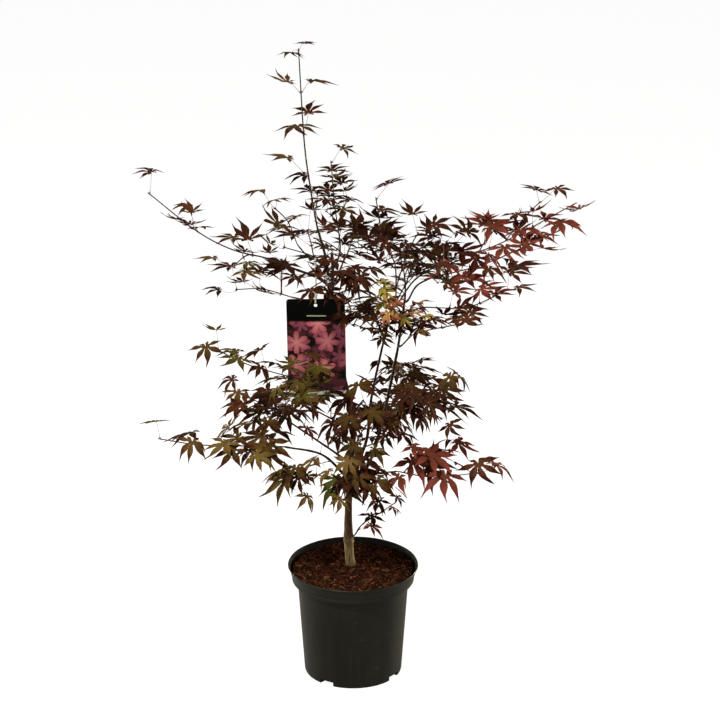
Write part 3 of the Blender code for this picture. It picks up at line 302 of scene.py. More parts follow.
MASS_NAMES = [plan.name for plan in MASSES]

# Limbs with spurs of their own: the share of their length where the first stands, and the chance of each.
CLOTHED = {
    "right_front_stem": (0.3, 0.3), "right_rear_stem": (0.3, 0.2), "left_low_bough": (0.45, 0.5),
    "left_inner_bough": (0.4, 0.5), "left_green_bough": (0.5, 0.5), "right_low_bough": (0.4, 0.5),
    "right_inner_bough": (0.3, 0.3), "centre_front_bough": (0.4, 0.5), "low_rear_bough": (0.5, 0.6),
    "inner_rear_bough": (0.5, 0.6), "crown_rear_bough": (0.5, 0.6), "left_rear_low_bough": (0.5, 0.6),
}


# ---- meshes from arrays


class Bag:
    """Gathers patches of points and faces, and makes them one mesh."""

    def __init__(self) -> None:
        """Start with no points."""
        self.points: list[Array] = []
        self.corners: list[Array] = []
        self.sizes: list[Array] = []
        self.paints: list[Array] = []
        self.count = 0

    def add(self, points: Array, faces: Sequence[Array], paints: Sequence[Array | int] = ()) -> None:
        """Add a patch.

        Args:
            points: Array (n, 3) in metres.
            faces: Arrays of corner numbers, one array (m, k) for each number of corners k.
            paints: For each array of faces, its material number or an array of them.
        """
        for index, block in enumerate(faces):
            paint = paints[index] if paints else 0
            self.corners.append((block + self.count).ravel())
            self.sizes.append(np.full(len(block), block.shape[1]))
            self.paints.append(np.broadcast_to(paint, len(block)))
        self.points.append(points.reshape(-1, 3))
        self.count += len(self.points[-1])

    def add_copies(self, points: Array, faces: Sequence[Array], paints: Sequence[Array | int]) -> None:
        """Add many patches with the same faces.

        Args:
            points: Array (count, n, 3) in metres, the points of each copy.
            faces: Arrays of corner numbers of one copy.
            paints: For each array of faces, the material number of all copies or an array of one for each.
        """
        count, size, _ = points.shape
        offsets = (np.arange(count) * size)[:, None, None]
        blocks = [(block[None] + offsets).reshape(-1, block.shape[1]) for block in faces]
        self.add(points, blocks, [np.repeat(np.broadcast_to(paint, count), len(block))
                                  for paint, block in zip(paints, faces)])

    def build(self, name: str, materials: Sequence[Material], smooth: bool = True) -> Piece:
        """Make the object.

        Args:
            name: Name of the piece.
            materials: Materials in the order of the paint numbers.
            smooth: Whether the faces are shaded smooth.

        Returns:
            The linked object, at the origin.
        """
        points = np.concatenate(self.points)
        corners = np.concatenate(self.corners)
        sizes = np.concatenate(self.sizes)
        mesh = bpy.data.meshes.new(name)
        mesh.vertices.add(len(points))
        mesh.vertices.foreach_set("co", points.astype(np.float32).ravel())
        mesh.loops.add(len(corners))
        mesh.loops.foreach_set("vertex_index", corners.astype(np.int32))
        mesh.polygons.add(len(sizes))
        mesh.polygons.foreach_set("loop_start", (np.cumsum(sizes) - sizes).astype(np.int32))
        for material in materials:
            mesh.materials.append(material)
        mesh.polygons.foreach_set("material_index", np.concatenate(self.paints).astype(np.int32))
        mesh.update(calc_edges=True)
        mesh.polygons.foreach_set("use_smooth", np.full(len(sizes), smooth))
        item = bpy.data.objects.new(name, mesh)
        bpy.context.scene.collection.objects.link(item)
        log.info("%s: %d points, %d faces", name, len(points), len(sizes))
        return item


def lattice_noise(u: Array, v: Array, seed: int, wrap: int) -> Array:
    """Smooth noise from -1 to 1: random values on a unit lattice, blended by 3t^2 - 2t^3 both ways.

    Args:
        u: First coordinate, which repeats after wrap cells.
        v: Second coordinate, in cells.
        seed: Seed of the lattice.
        wrap: Number of cells after which u repeats.

    Returns:
        Noise of the shape of u and v.
    """
    rows = 199
    table = np.random.default_rng(seed).uniform(-1.0, 1.0, (wrap, rows))
    iu, iv = np.floor(u).astype(int), np.floor(v).astype(int)
    su, sv = ((t * t * (3.0 - 2.0 * t)) for t in (u - iu, v - iv))

    def edge(row: int) -> Array:
        """Values along one side of each cell."""
        near, far = (table[(iu + step) % wrap, (iv + row) % rows] for step in (0, 1))
        return near * (1.0 - su) + far * su

    return edge(0) * (1.0 - sv) + edge(1) * sv


def layered_noise(u: Array, v: Array, seed: int, wrap: int, layers: int = 4) -> Array:
    """Sum of lattice noises, each at twice the frequency and 0.55 of the height of the one before."""
    return sum(0.55**k * lattice_noise(u * 2**k, v * 2**k, seed + k, wrap * 2**k) for k in range(layers))


def unit(vectors: Array) -> Array:
    """Vectors scaled to length 1 along the last axis."""
    return vectors / np.maximum(np.linalg.norm(vectors, axis=-1, keepdims=True), 1e-12)


def grid_faces(rows: int, columns: int, closed: bool = True) -> Array:
    """Quads between the rows of a grid whose points run along the columns first.

    Args:
        rows: Number of rows.
        columns: Number of columns.
        closed: Whether the last column joins the first.

    Returns:
        Array (n, 4) of corner numbers, turning from the columns' direction to the rows'.
    """
    row, column = np.indices((rows - 1, columns if closed else columns - 1))
    start = row * columns + column
    following = row * columns + (column + 1) % columns
    return np.stack((start, following, following + columns, start + columns), -1).reshape(-1, 4)


def tube_faces(rows: int, sides: int) -> tuple[Array, Array]:
    """Faces of a closed grid, drawn together at both ends to two more points.

    Args:
        rows: Number of rows.
        sides: Number of points in a row.

    Returns:
        The quads and the triangles.
    """
    around = np.arange(sides)
    following = (around + 1) % sides
    apex = np.full(sides, rows * sides)
    top = (rows - 1) * sides
    low = np.stack((apex, following, around), -1)
    high = np.stack((apex + 1, top + around, top + following), -1)
    return grid_faces(rows, sides), np.concatenate((low, high))


def ring_frames(centre: Array) -> tuple[Array, Array]:
    """Two directions square to a curve at each of its points, carried along it without twist.

    Args:
        centre: Points (n, 3) of the curve.

    Returns:
        Side and other directions, each (n, 3).
    """
    along = unit(np.gradient(centre, axis=0))
    side = np.empty_like(centre)
    guess = np.array(Vector(along[0]).orthogonal().normalized())
    for index, way in enumerate(along):
        guess = guess - way * (guess @ way)
        guess /= np.linalg.norm(guess)
        side[index] = guess
    return side, np.cross(along, side)


def circles(centre: Array, frames: tuple[Array, Array], reach: Array, sides: int) -> Array:
    """Rings centre + reach * (side * cos a + other * sin a).

    Args:
        centre: Middle of each ring, (..., 3).
        frames: Side and other directions, of the same shape.
        reach: Radii, (..., 1) or (..., sides).
        sides: Number of points of a ring.

    Returns:
        Points (..., sides, 3).
    """
    side, other = frames
    turns = np.linspace(0.0, math.tau, sides, endpoint=False)[:, None]
    out = side[..., None, :] * np.cos(turns) + other[..., None, :] * np.sin(turns)
    return centre[..., None, :] + out * reach[..., None]


def add_tube(bag: Bag, centre: Array, radii: Array, sides: int, paint: int = 0,
             relief: Array | float = 1.0) -> None:
    """Tube with closed, rounded ends.

    Args:
        bag: Where the tube goes.
        centre: Points (n, 3) of its middle line.
        radii: Radius at each point.
        sides: Number of sides.
        paint: Material number.
        relief: Array (n, sides) by which each radius is multiplied.
    """
    rings = circles(centre, ring_frames(centre), radii[:, None] * relief, sides)
    first = centre[0] - unit(centre[1] - centre[0]) * radii[0] * 0.3
    last = centre[-1] + unit(centre[-1] - centre[-2]) * radii[-1] * 0.5
    points = np.concatenate((rings.reshape(-1, 3), first[None], last[None]))
    bag.add(points, tube_faces(len(radii), sides), (paint, paint))


def add_threads(bag: Bag, centres: Array, radii: Array, sides: int, paints: Array | int = 0) -> None:
    """Many thin tubes with the same number of rings, closed by a point at each end.

    Args:
        bag: Where the tubes go.
        centres: Array (count, rings, 3) of middle lines.
        radii: Array (count, rings) of radii.
        sides: Number of sides.
        paints: Material number, or one for each tube.
    """
    count, rings, _ = centres.shape
    along = unit(np.gradient(centres, axis=1))
    axis = np.eye(3)[np.abs(unit(along.mean(axis=1))).argmin(axis=1)]
    side = unit(np.cross(along, axis[:, None]))
    body = circles(centres, (side, np.cross(along, side)), radii[..., None], sides).reshape(count, -1, 3)
    first = centres[:, 0] - along[:, 0] * radii[:, :1]
    last = centres[:, -1] + along[:, -1] * radii[:, -1:]
    points = np.concatenate((body, first[:, None], last[:, None]), axis=1)
    bag.add_copies(points, tube_faces(rings, sides), (paints, paints))


BLOCK_FACES = ((0, 2, 3, 1), (4, 5, 7, 6), (0, 1, 5, 4), (2, 6, 7, 3), (0, 4, 6, 2), (1, 3, 7, 5))


def box_block(low: Point, high: Point) -> tuple[list, list]:
    """Corners and faces of an upright block."""
    corners = [(x, y, z) for z in (low[2], high[2]) for y in (low[1], high[1]) for x in (low[0], high[0])]
    return corners, [*BLOCK_FACES]


# ---- limbs


@dataclass
class Limb:
    """Middle line and radii of a limb or twig, in metres."""

    centre: list
    radii: list
    out: Vector | None = None

    def lengths(self) -> Array:
        """Length of the middle line up to each of its points."""
        steps = [(far - near).length for near, far in zip(self.centre, self.centre[1:])]
        return np.concatenate(((0.0,), np.cumsum(steps)))

    def length(self) -> float:
        """Whole length of the middle line."""
        return float(self.lengths()[-1])

    def place(self, share: float) -> tuple[Vector, Vector, float]:
        """Find a place on the limb.

        Args:
            share: Share of the length, from 0 to 1.

        Returns:
            The point, the direction and the radius.
        """
        lengths = self.lengths()
        target = min(max(share, 0.0), 1.0) * lengths[-1]
        index = min(int(np.searchsorted(lengths, target, side="right")) - 1, len(self.centre) - 2)
        part = (target - lengths[index]) / (lengths[index + 1] - lengths[index])
        near, far = self.centre[index], self.centre[index + 1]
        radius = self.radii[index] + (self.radii[index + 1] - self.radii[index]) * part
        return near.lerp(far, part), (far - near).normalized(), radius

    def refined(self, spacing: float) -> tuple[Array, Array]:
        """Smooth the middle line and space it evenly.

        Args:
            spacing: Distance between rings, in metres.

        Returns:
            The points (n, 3) and their radii.
        """
        lengths = self.lengths()
        count = max(4, round(lengths[-1] / spacing) + 1)
        targets = np.linspace(0.0, lengths[-1], count)
        points = np.array([tuple(point) for point in self.centre])
        line = np.stack([np.interp(targets, lengths, points[:, axis]) for axis in range(3)], -1)
        for _ in range(2):
            line[1:-1] = line[1:-1] * 0.5 + (line[:-2] + line[2:]) * 0.25
        return line, np.interp(targets, lengths, self.radii)


def smooth_route(points: Sequence[Vector], spacing: float) -> list:
    """Catmull-Rom curve through turning points.

    Args:
        points: Turning points.
        spacing: Distance between the curve's points.

    Returns:
        Points of the curve.
    """
    ends = [points[0] * 2.0 - points[1], *points, points[-1] * 2.0 - points[-2]]
    curve = [points[0]]
    for index in range(1, len(ends) - 2):
        before, start, stop, after = ends[index - 1 : index + 3]
        steps = max(1, round((stop - start).length / spacing))
        for step in range(1, steps + 1):
            t = step / steps
            curve.append(
                (start * 2.0 + (stop - before) * t
                 + (before * 2.0 - start * 5.0 + stop * 4.0 - after) * t * t
                 + (start * 3.0 - before - stop * 3.0 + after) * t * t * t) * 0.5
            )
    return curve


def arched_route(start: Vector, tip: Vector, arch: float, spacing: float) -> list:
    """Parabola from start to tip whose middle stands arch above the straight line."""
    steps = max(3, round((tip - start).length / spacing))
    shares = (step / steps for step in range(steps + 1))
    return [start.lerp(tip, share) + UP * (4.0 * arch * share * (1.0 - share)) for share in shares]


def even_taper(points: Sequence[Vector], base: float, tip: float) -> list:
    """Radii from base to tip (cm), one for each point, in metres."""
    last = len(points) - 1
    return [(base + (tip - base) * index / last) * CM for index in range(last + 1)]


def seat_on(parent: Limb, share: float, toward: Vector) -> tuple[Vector, Vector]:
    """Start of a limb on its parent's side.

    Args:
        parent: The limb that bears it.
        share: Share of the parent's length.
        toward: Where the limb heads.

    Returns:
        The point just clear of the bark, and the way it faces.
    """
    centre, along, radius = parent.place(share)
    out = toward - centre
    out = (out - along * out.dot(along)).normalized()
    return centre + out * (radius + SEAT_GAP), out


@dataclass
class Skeleton:
    """The trunk, the boughs and the shoots of every mass, laid as in the part's source."""

    lift: float = 1.8
    stem_radius: float = 0.2
    shoot_radius: float = 0.17
    tip_radius: float = 0.14
    spacing: float = 1.2
    limbs: dict = field(default_factory=dict)
    axes: dict = field(default_factory=dict)

    def grow(self) -> "Skeleton":
        """Lay the trunk, then the boughs, then the stems and side shoots of the masses.

        Returns:
            This skeleton, grown.
        """
        route = smooth_route([Vector(point) * CM for point in TRUNK_ROUTE], self.spacing * CM)
        girth = np.array(TRUNK_GIRTH) * CM
        radii = np.interp([point.z for point in route], girth[:, 0], girth[:, 1])
        self.limbs["trunk"] = Limb(route, list(radii))
        for plan in BOUGHS:
            turning = [Vector(point) * CM for point in plan.route]
            seat, out = seat_on(self.limbs[plan.parent], plan.at, turning[0])
            lifted = seat + out * (self.lift * plan.base * CM)
            route = smooth_route([seat, lifted, *turning], self.spacing * CM)
            self.limbs[plan.name] = Limb(route, even_taper(route, plan.base, plan.tip), out)
        for plan in MASSES:
            self.axes[plan.name] = self.shoots_of(plan)
        return self

    def shoots_of(self, plan: MassPlan) -> list:
        """Lay the stem and the side shoots of a mass.

        Args:
            plan: The mass.

        Returns:
            The limbs, with the stem first.
        """
        carrier = self.limbs[plan.carrier]
        turning = [Vector(point) * CM for point in plan.route]
        if plan.at < 1.0:
            start, out = seat_on(carrier, plan.at, turning[0])
            base = self.stem_radius
        else:
            start, out, radius = carrier.place(1.0)
            base = radius / CM
        route = smooth_route([start, start + out * (self.lift * base * CM), *turning], self.spacing * CM)
        stem = Limb(route, even_taper(route, base, self.tip_radius), out)
        axes = [stem]
        for share, tip, arch in plan.shoots:
            start, _, radius = stem.place(share)
            shoot = arched_route(start, Vector(tip) * CM, arch * CM, self.spacing * CM)
            girth = min(radius / CM, self.shoot_radius)
            axes.append(Limb(shoot, even_taper(shoot, girth, self.tip_radius)))
        return axes


# ---- materials


class Nodes:
    """A node tree with short ways to add nodes, set their sockets and link them."""

    def __init__(self, tree: bpy.types.NodeTree) -> None:
        """Write into this node tree."""
        self.tree = tree

    def feed(self, node: bpy.types.Node, sockets: dict) -> bpy.types.Node:
        """Set or link a node's inputs.

        Args:
            node: The node.
            sockets: Values or output sockets by the input's name or number.

        Returns:
            The node.
        """
        for name, value in sockets.items():
            if isinstance(value, Socket):
                self.tree.links.new(value, node.inputs[name])
            else:
                node.inputs[name].default_value = value
        return node

    def add(self, kind: str, sockets: dict | None = None, **settings: object) -> bpy.types.Node:
        """Add a node.

        Args:
            kind: Node type without its ShaderNode prefix.
            sockets: Inputs as for feed.
            settings: Properties of the node.

        Returns:
            The node.
        """
        node = self.tree.nodes.new(f"ShaderNode{kind}")
        for name, value in settings.items():
            setattr(node, name, value)
        return self.feed(node, sockets or {})

    def math(self, operation: str, *values: object) -> Socket:
        """Result of a math node on values or sockets."""
        return self.add("Math", dict(enumerate(values)), operation=operation).outputs[0]

    def vector(self, operation: str, first: object, second: object) -> bpy.types.Node:
        """Vector math node on two values or sockets."""
        return self.add("VectorMath", {0: first, 1: second}, operation=operation)

    def blend(self, factor: object, low: object, high: object, kind: str = "MIX") -> Socket:
        """Colour between two others, by a factor from 0 to 1."""
        ends = [(*value, 1.0) if isinstance(value, tuple) else value for value in (low, high)]
        node = self.add("Mix", {0: factor, 6: ends[0], 7: ends[1]}, data_type="RGBA", blend_type=kind)
        return node.outputs[2]

    def ramp(self, factor: object, stops: Sequence[tuple[float, Colour]]) -> Socket:
        """Colour of a ramp at a factor.

        Args:
            factor: Place on the ramp, from 0 to 1.
            stops: Place and colour of each stop.

        Returns:
            The colour.
        """
        node = self.add("ValToRGB", {0: factor})
        elements = node.color_ramp.elements
        while len(elements) < len(stops):
            elements.new(1.0)
        for element, (place, colour) in zip(elements, stops):
            element.position = place
            element.color = (*colour, 1.0)
        return node.outputs[0]

    def span(self, value: object, low: object, high: object, start: float = 0.0, stop: float = 1.0,
             ) -> Socket:
        """Value carried from low..high to start..stop and held there."""
        return self.add("MapRange", {0: value, 1: low, 2: high, 3: start, 4: stop}).outputs[0]


def node_group(name: str, inputs: Sequence[tuple[str, str, object]], output: tuple[str, str],
               fill: Callable[[Nodes, dict], Socket]) -> bpy.types.NodeTree:
    """Make a shader node group.

    Args:
        name: Name of the group.
        inputs: Name, socket type and default of each input.
        output: Name and socket type of the output.
        fill: Builds the inside from the input sockets and gives the output's source.

    Returns:
        The group's tree.
    """
    tree = bpy.data.node_groups.new(name, "ShaderNodeTree")
    for title, kind, default in inputs:
        socket = tree.interface.new_socket(name=title, in_out="INPUT", socket_type=kind)
        if default is not None:
            socket.default_value = default
    tree.interface.new_socket(name=output[0], in_out="OUTPUT", socket_type=output[1])
    entry = tree.nodes.new("NodeGroupInput")
    leave = tree.nodes.new("NodeGroupOutput")
    source = fill(Nodes(tree), {title: entry.outputs[title] for title, _, _ in inputs})
    tree.links.new(source, leave.inputs[0])
    return tree


def fill_mottle(nodes: Nodes, given: dict) -> Socket:
    """Mask of layered noise, stretched between two levels."""
    shared = {name: given[name] for name in ("Vector", "Scale", "Detail")}
    noise = nodes.add("TexNoise", {**shared, "Roughness": 0.6})
    return nodes.add("MapRange", {0: noise.outputs[0], 1: given["Low"], 2: given["High"]}).outputs[0]


def fill_relief(nodes: Nodes, given: dict) -> Socket:
    """Normal of fine layered noise."""
    noise = nodes.add("TexNoise", {"Vector": given["Vector"], "Scale": given["Scale"], "Detail": 4.0,
                                   "Roughness": 0.65})
    return nodes.add("Bump", {"Strength": given["Strength"], "Distance": given["Distance"],
                              "Height": noise.outputs[0]}).outputs[0]


class NoiseGroups:
    """The groups that the finishes share: a mask of noise and a fine relief."""

    def __init__(self) -> None:
        """Build both groups."""
        number, vector = "NodeSocketFloat", "NodeSocketVector"
        self.mottle = node_group(
            "mottle", (("Vector", vector, None), ("Scale", number, 10.0), ("Detail", number, 3.0),
                       ("Low", number, 0.35), ("High", number, 0.65)), ("Mask", number), fill_mottle)
        self.relief = node_group(
            "fine_relief", (("Vector", vector, None), ("Scale", number, 100.0), ("Strength", number, 0.3),
                            ("Distance", number, 0.001)), ("Normal", vector), fill_relief)


class Finish(Nodes):
    """A Principled material, with its shader and the nodes that feed it."""

    def __init__(self, name: str, values: dict) -> None:
        """Make the material.

        Args:
            name: The material's name.
            values: Inputs of its shader.
        """
        self.material = bpy.data.materials.new(name)
        self.material.use_nodes = True
        super().__init__(self.material.node_tree)
        self.shader = self.feed(self.tree.nodes["Principled BSDF"], values)


class GrainedFinish(Finish):
    """A finish broken up by masks and a fine relief of noise, in the object's own space."""

    def __init__(self, groups: NoiseGroups, name: str, specular: float, **values: object) -> None:
        """Make the material, placed by object coordinates.

        Args:
            groups: The shared noise.
            name: The material's name.
            specular: Its specular level.
            values: Other inputs of its shader.
        """
        super().__init__(name, {"Specular IOR Level": specular, **values})
        self.groups = groups
        self.place = self.add("TexCoord").outputs["Object"]

    def stretched(self, *scale: float) -> Socket:
        """The object's space, scaled along each axis."""
        return self.add("Mapping", {"Vector": self.place, "Scale": scale}).outputs[0]

    def mask(self, scale: float, detail: float, low: float, high: float,
             vector: Socket | None = None) -> Socket:
        """Mask of layered noise.

        Args:
            scale: Scale of the noise.
            detail: Its detail.
            low: Level that becomes 0.
            high: Level that becomes 1.
            vector: Where it is read, or None for the object's space.

        Returns:
            The mask's socket.
        """
        return self.add("Group", {"Vector": vector or self.place, "Scale": scale, "Detail": detail,
                                  "Low": low, "High": high}, node_tree=self.groups.mottle).outputs[0]

    def end(self, colour: Socket, roughness: object, grain: tuple[float, float, float],
            vector: Socket | None = None) -> Material:
        """Feed the shader.

        Args:
            colour: Its colour.
            roughness: Its roughness.
            grain: Scale, strength and distance of its relief.
            vector: Where the relief is read, or None for the object's space.

        Returns:
            The material.
        """
        scale, strength, distance = grain
        relief = self.add("Group", {"Vector": vector or self.place, "Scale": scale, "Strength": strength,
                                    "Distance": distance}, node_tree=self.groups.relief)
        self.feed(self.shader, {"Base Color": colour, "Roughness": roughness, "Normal": relief.outputs[0]})
        return self.material


@dataclass(frozen=True)
class Shade:
    """A plain finish with constant sockets."""

    name: str
    colour: Colour
    roughness: float = 0.5
    specular: float = 0.06

    def material(self) -> Material:
        """The finish's material, made once."""
        return bpy.data.materials.get(self.name) or Finish(self.name, {
            "Base Color": (*self.colour, 1.0), "Roughness": self.roughness,
            "Specular IOR Level": self.specular}).material


@dataclass(frozen=True)
class PlasticFinish:
    """Satin olive-black nursery plastic, dusty and scuffed, with painted highlights and painted shade
    inside.
    """

    tint: Colour = (0.97, 0.96, 0.84)
    # The ground runs from bare plastic to a lighter tint where dust and painted reflection bands lie.
    clean: Colour = (0.005, 0.0052, 0.003)
    dusty: Colour = (0.0155, 0.0146, 0.0078)
    # Colour of the scuffs and of the painted highlight line.
    scuffed: Colour = (0.042, 0.04, 0.03)
    # Inward-facing walls take this painted shade.
    inside: Colour = (0.0016, 0.0011, 0.0007)
    # Height of a thin painted highlight line round the top of the bead, under the band.
    edge_height: float = 0.2183

    def build(self, groups: NoiseGroups) -> Material:
        """The pot's material.

        Args:
            groups: The shared noise.

        Returns:
            The material.
        """
        nodes = GrainedFinish(groups, "moulded_plastic", 0.4, **{"Specular Tint": (*self.tint, 1.0)})
        tall = nodes.stretched(1.0, 1.0, 0.08)
        cloud = nodes.mask(9.0, 5.0, 0.42, 0.74)
        # Soft vertical bands of painted reflection, mixed with the dust cloud into one mask that lightens
        # the ground.
        drawn = nodes.mask(26.0, 3.0, 0.36, 0.7, tall)
        dust_and_sheen = nodes.add("Mix", {0: 0.55, 2: cloud, 3: drawn}).outputs[0]
        streak = nodes.mask(130.0, 4.0, 0.58, 0.78, tall)
        scuff = nodes.mask(240.0, 2.0, 0.64, 0.7, nodes.stretched(0.12, 0.12, 1.0))
        # A thin painted highlight line round the pot, at the top of the bead under the band.
        height = nodes.add("SeparateXYZ", {0: nodes.place}).outputs[2]
        away = nodes.math("ABSOLUTE", nodes.math("SUBTRACT", height, self.edge_height))
        edge = nodes.span(away, 0.0011, 0.0003)
        ground = nodes.blend(dust_and_sheen, self.clean, self.dusty)
        lines = nodes.math("MAXIMUM", streak, scuff)
        marks = nodes.math("MULTIPLY", lines, nodes.span(dust_and_sheen, 0.0, 1.0, 0.15, 0.75))
        # Scuffs and the painted highlight line take the same lighter colour.
        scuffs_and_highlight_line = nodes.math("MAXIMUM", marks, nodes.math("MULTIPLY", edge, 0.8))
        outside = nodes.blend(scuffs_and_highlight_line, ground, self.scuffed)
        # Faces turned in towards the axis get painted shade: near black, and a little rougher.
        spread = nodes.vector("MULTIPLY", nodes.place, (1.0, 1.0, 0.0)).outputs[0]
        facing = nodes.vector("DOT_PRODUCT", spread, nodes.add("NewGeometry").outputs["Normal"])
        inside = nodes.span(facing.outputs["Value"], 0.0, -0.05)
        colour = nodes.blend(inside, outside, self.inside)
        dull = nodes.math("MULTIPLY", inside, 0.4)
        roughness = nodes.math("ADD", nodes.span(dust_and_sheen, 0.0, 1.0, 0.31, 0.5), dull)
        return nodes.end(colour, roughness, (420.0, 0.12, 0.0006))


@dataclass(frozen=True)
class BarkFinish:
    """Trunk bark: olive tan below the graft, grey brown and striped above, darker to the tip."""

    foot: float = 0.23
    tip: float = 0.95
    stops: tuple = ((0.0, (0.26, 0.19, 0.08)), (0.08, (0.36, 0.27, 0.12)), (0.115, (0.16, 0.078, 0.038)),
                    (0.35, (0.085, 0.04, 0.02)), (0.7, (0.036, 0.017, 0.0095)),
                    (1.0, (0.02, 0.0095, 0.006)))
    dark_stripe: Colour = (0.42, 0.38, 0.36)
    pale_stripe: Colour = (1.5, 1.5, 1.5)
    lichen: Colour = (0.15, 0.12, 0.07)

    def build(self, groups: NoiseGroups) -> Material:
        """The trunk's material.

        Args:
            groups: The shared noise.

        Returns:
            The material.
        """
        nodes = GrainedFinish(groups, "trunk_bark", 0.25)
        height = nodes.add("SeparateXYZ", {0: nodes.place}).outputs[2]
        tall = nodes.stretched(1.0, 1.0, 0.1)
        stripe = nodes.mask(420.0, 4.0, 0.36, 0.66, tall)
        patch = nodes.mask(60.0, 5.0, 0.38, 0.68)
        share = nodes.span(nodes.math("MULTIPLY_ADD", patch, 0.02, height), self.foot, self.tip)
        ground = nodes.ramp(share, self.stops)
        dark = nodes.blend(1.0, ground, self.dark_stripe, "MULTIPLY")
        pale = nodes.blend(1.0, ground, self.pale_stripe, "MULTIPLY")
        colour = nodes.blend(stripe, dark, pale)
        colour = nodes.blend(nodes.math("MULTIPLY", patch, 0.3), colour, self.lichen)
        return nodes.end(colour, nodes.span(stripe, 0.0, 1.0, 0.62, 0.86), (900.0, 0.5, 0.0008), tall)


@dataclass(frozen=True)
class TwigFinish:
    """Smooth young bark between two colours, with a fine grain."""

    name: str
    low: Colour
    high: Colour

    def build(self, groups: NoiseGroups) -> Material:
        """The material of boughs, shoots or spurs."""
        nodes = GrainedFinish(groups, self.name, 0.2)
        patch = nodes.mask(90.0, 4.0, 0.36, 0.66)
        colour = nodes.blend(patch, self.low, self.high)
        return nodes.end(colour, nodes.span(patch, 0.0, 1.0, 0.48, 0.66), (1300.0, 0.3, 0.0005))


TWIG_BARKS = (
    TwigFinish("limb_bark", (0.024, 0.0125, 0.0085), (0.06, 0.031, 0.02)),
    TwigFinish("shoot_bark", (0.024, 0.0105, 0.0075), (0.055, 0.023, 0.016)),
    TwigFinish("spur_bark", (0.05, 0.018, 0.013), (0.1, 0.04, 0.027)),
)


@dataclass(frozen=True)
class PeatFinish:
    """Moist peat and coir: painted shade in the gaps, red brown lumps and paler crumbs."""

    # The first, near-black stop is painted shade of the gaps between lumps; the others are the peat's own
    # browns.
    stops: tuple = ((0.0, (0.0015, 0.0004, 0.0002)), (0.5, (0.009, 0.002, 0.0008)),
                    (1.0, (0.028, 0.006, 0.0022)))
    crumb: Colour = (0.07, 0.021, 0.008)
    roughness: float = 0.93

    def build(self, groups: NoiseGroups) -> Material:
        """The medium's material.

        Args:
            groups: The shared noise.

        Returns:
            The material.
        """
        nodes = GrainedFinish(groups, "moist_peat", 0.2)
        lump = nodes.mask(62.0, 6.0, 0.42, 0.66)
        crumb = nodes.mask(420.0, 3.0, 0.5, 0.72)
        # Low values of the lump mask give the painted shade of the gaps.
        ground = nodes.ramp(lump, self.stops)
        colour = nodes.blend(nodes.math("MULTIPLY", crumb, 0.35), ground, self.crumb)
        return nodes.end(colour, self.roughness, (520.0, 0.8, 0.0016))


@dataclass(frozen=True)
class StrapFinish:
    """Milky, slightly clouded plastic strap."""

    low: Colour = (0.5, 0.5, 0.47)
    high: Colour = (0.66, 0.66, 0.63)

    def build(self, groups: NoiseGroups) -> Material:
        """The strap's material."""
        nodes = GrainedFinish(groups, "milky_strap", 0.5)
        cloud = nodes.mask(160.0, 3.0, 0.3, 0.7)
        colour = nodes.blend(cloud, self.low, self.high)
        return nodes.end(colour, nodes.span(cloud, 0.0, 1.0, 0.34, 0.48), (900.0, 0.15, 0.0004))


@dataclass(frozen=True)
class Blossoms:
    """A layer of printed blossoms: cells to the metre, their size in a cell, rim and heart colours."""

    scale: float
    size: float
    rim: Colour
    heart: Colour

    def over(self, nodes: GrainedFinish, flat: Socket, picture: Socket) -> Socket:
        """Lay the blossoms over a picture.

        Each Voronoi cell may hold one, whose rim lies at r = s * (0.2 + 0.8 * |cos(3 a)|^0.7) from the
        cell's point, with a the angle about it; veins run out along each of its six petals.

        Args:
            nodes: The card's nodes.
            flat: Place on the card.
            picture: The colour below.

        Returns:
            The colour with the blossoms.
        """
        cells = nodes.add("TexVoronoi", {"Vector": flat, "Scale": self.scale, "Randomness": 0.5},
                          voronoi_dimensions="2D")
        away = nodes.vector("SUBTRACT", flat, cells.outputs["Position"]).outputs[0]
        offset = nodes.add("SeparateXYZ", {0: away})
        chance = nodes.add("SeparateColor", {0: cells.outputs["Color"]})
        angle = nodes.math("ARCTAN2", offset.outputs[1], offset.outputs[0])
        spin = nodes.math("MULTIPLY_ADD", chance.outputs[0], math.tau, angle)
        petal = nodes.math("ABSOLUTE", nodes.math("COSINE", nodes.math("MULTIPLY", spin, 3.0)))
        rim = nodes.math("MULTIPLY_ADD", nodes.math("POWER", petal, 0.7), 0.8 * self.size, 0.2 * self.size)
        share = nodes.math("DIVIDE", cells.outputs["Distance"], rim)
        veins = nodes.span(nodes.math("COSINE", nodes.math("MULTIPLY", spin, 30.0)), -1.0, 1.0)
        tone = nodes.blend(nodes.span(share, 0.0, 1.0), self.heart, self.rim)
        tone = nodes.blend(nodes.math("MULTIPLY", veins, 0.5), tone, self.rim)
        tone = nodes.blend(nodes.math("MULTIPLY", chance.outputs[1], 0.6), tone, (0.17, 0.035, 0.07))
        inside, chosen = nodes.span(share, 1.0, 0.94), nodes.span(chance.outputs[2], 0.28, 0.32)
        return nodes.blend(nodes.math("MULTIPLY", inside, chosen), picture, tone)


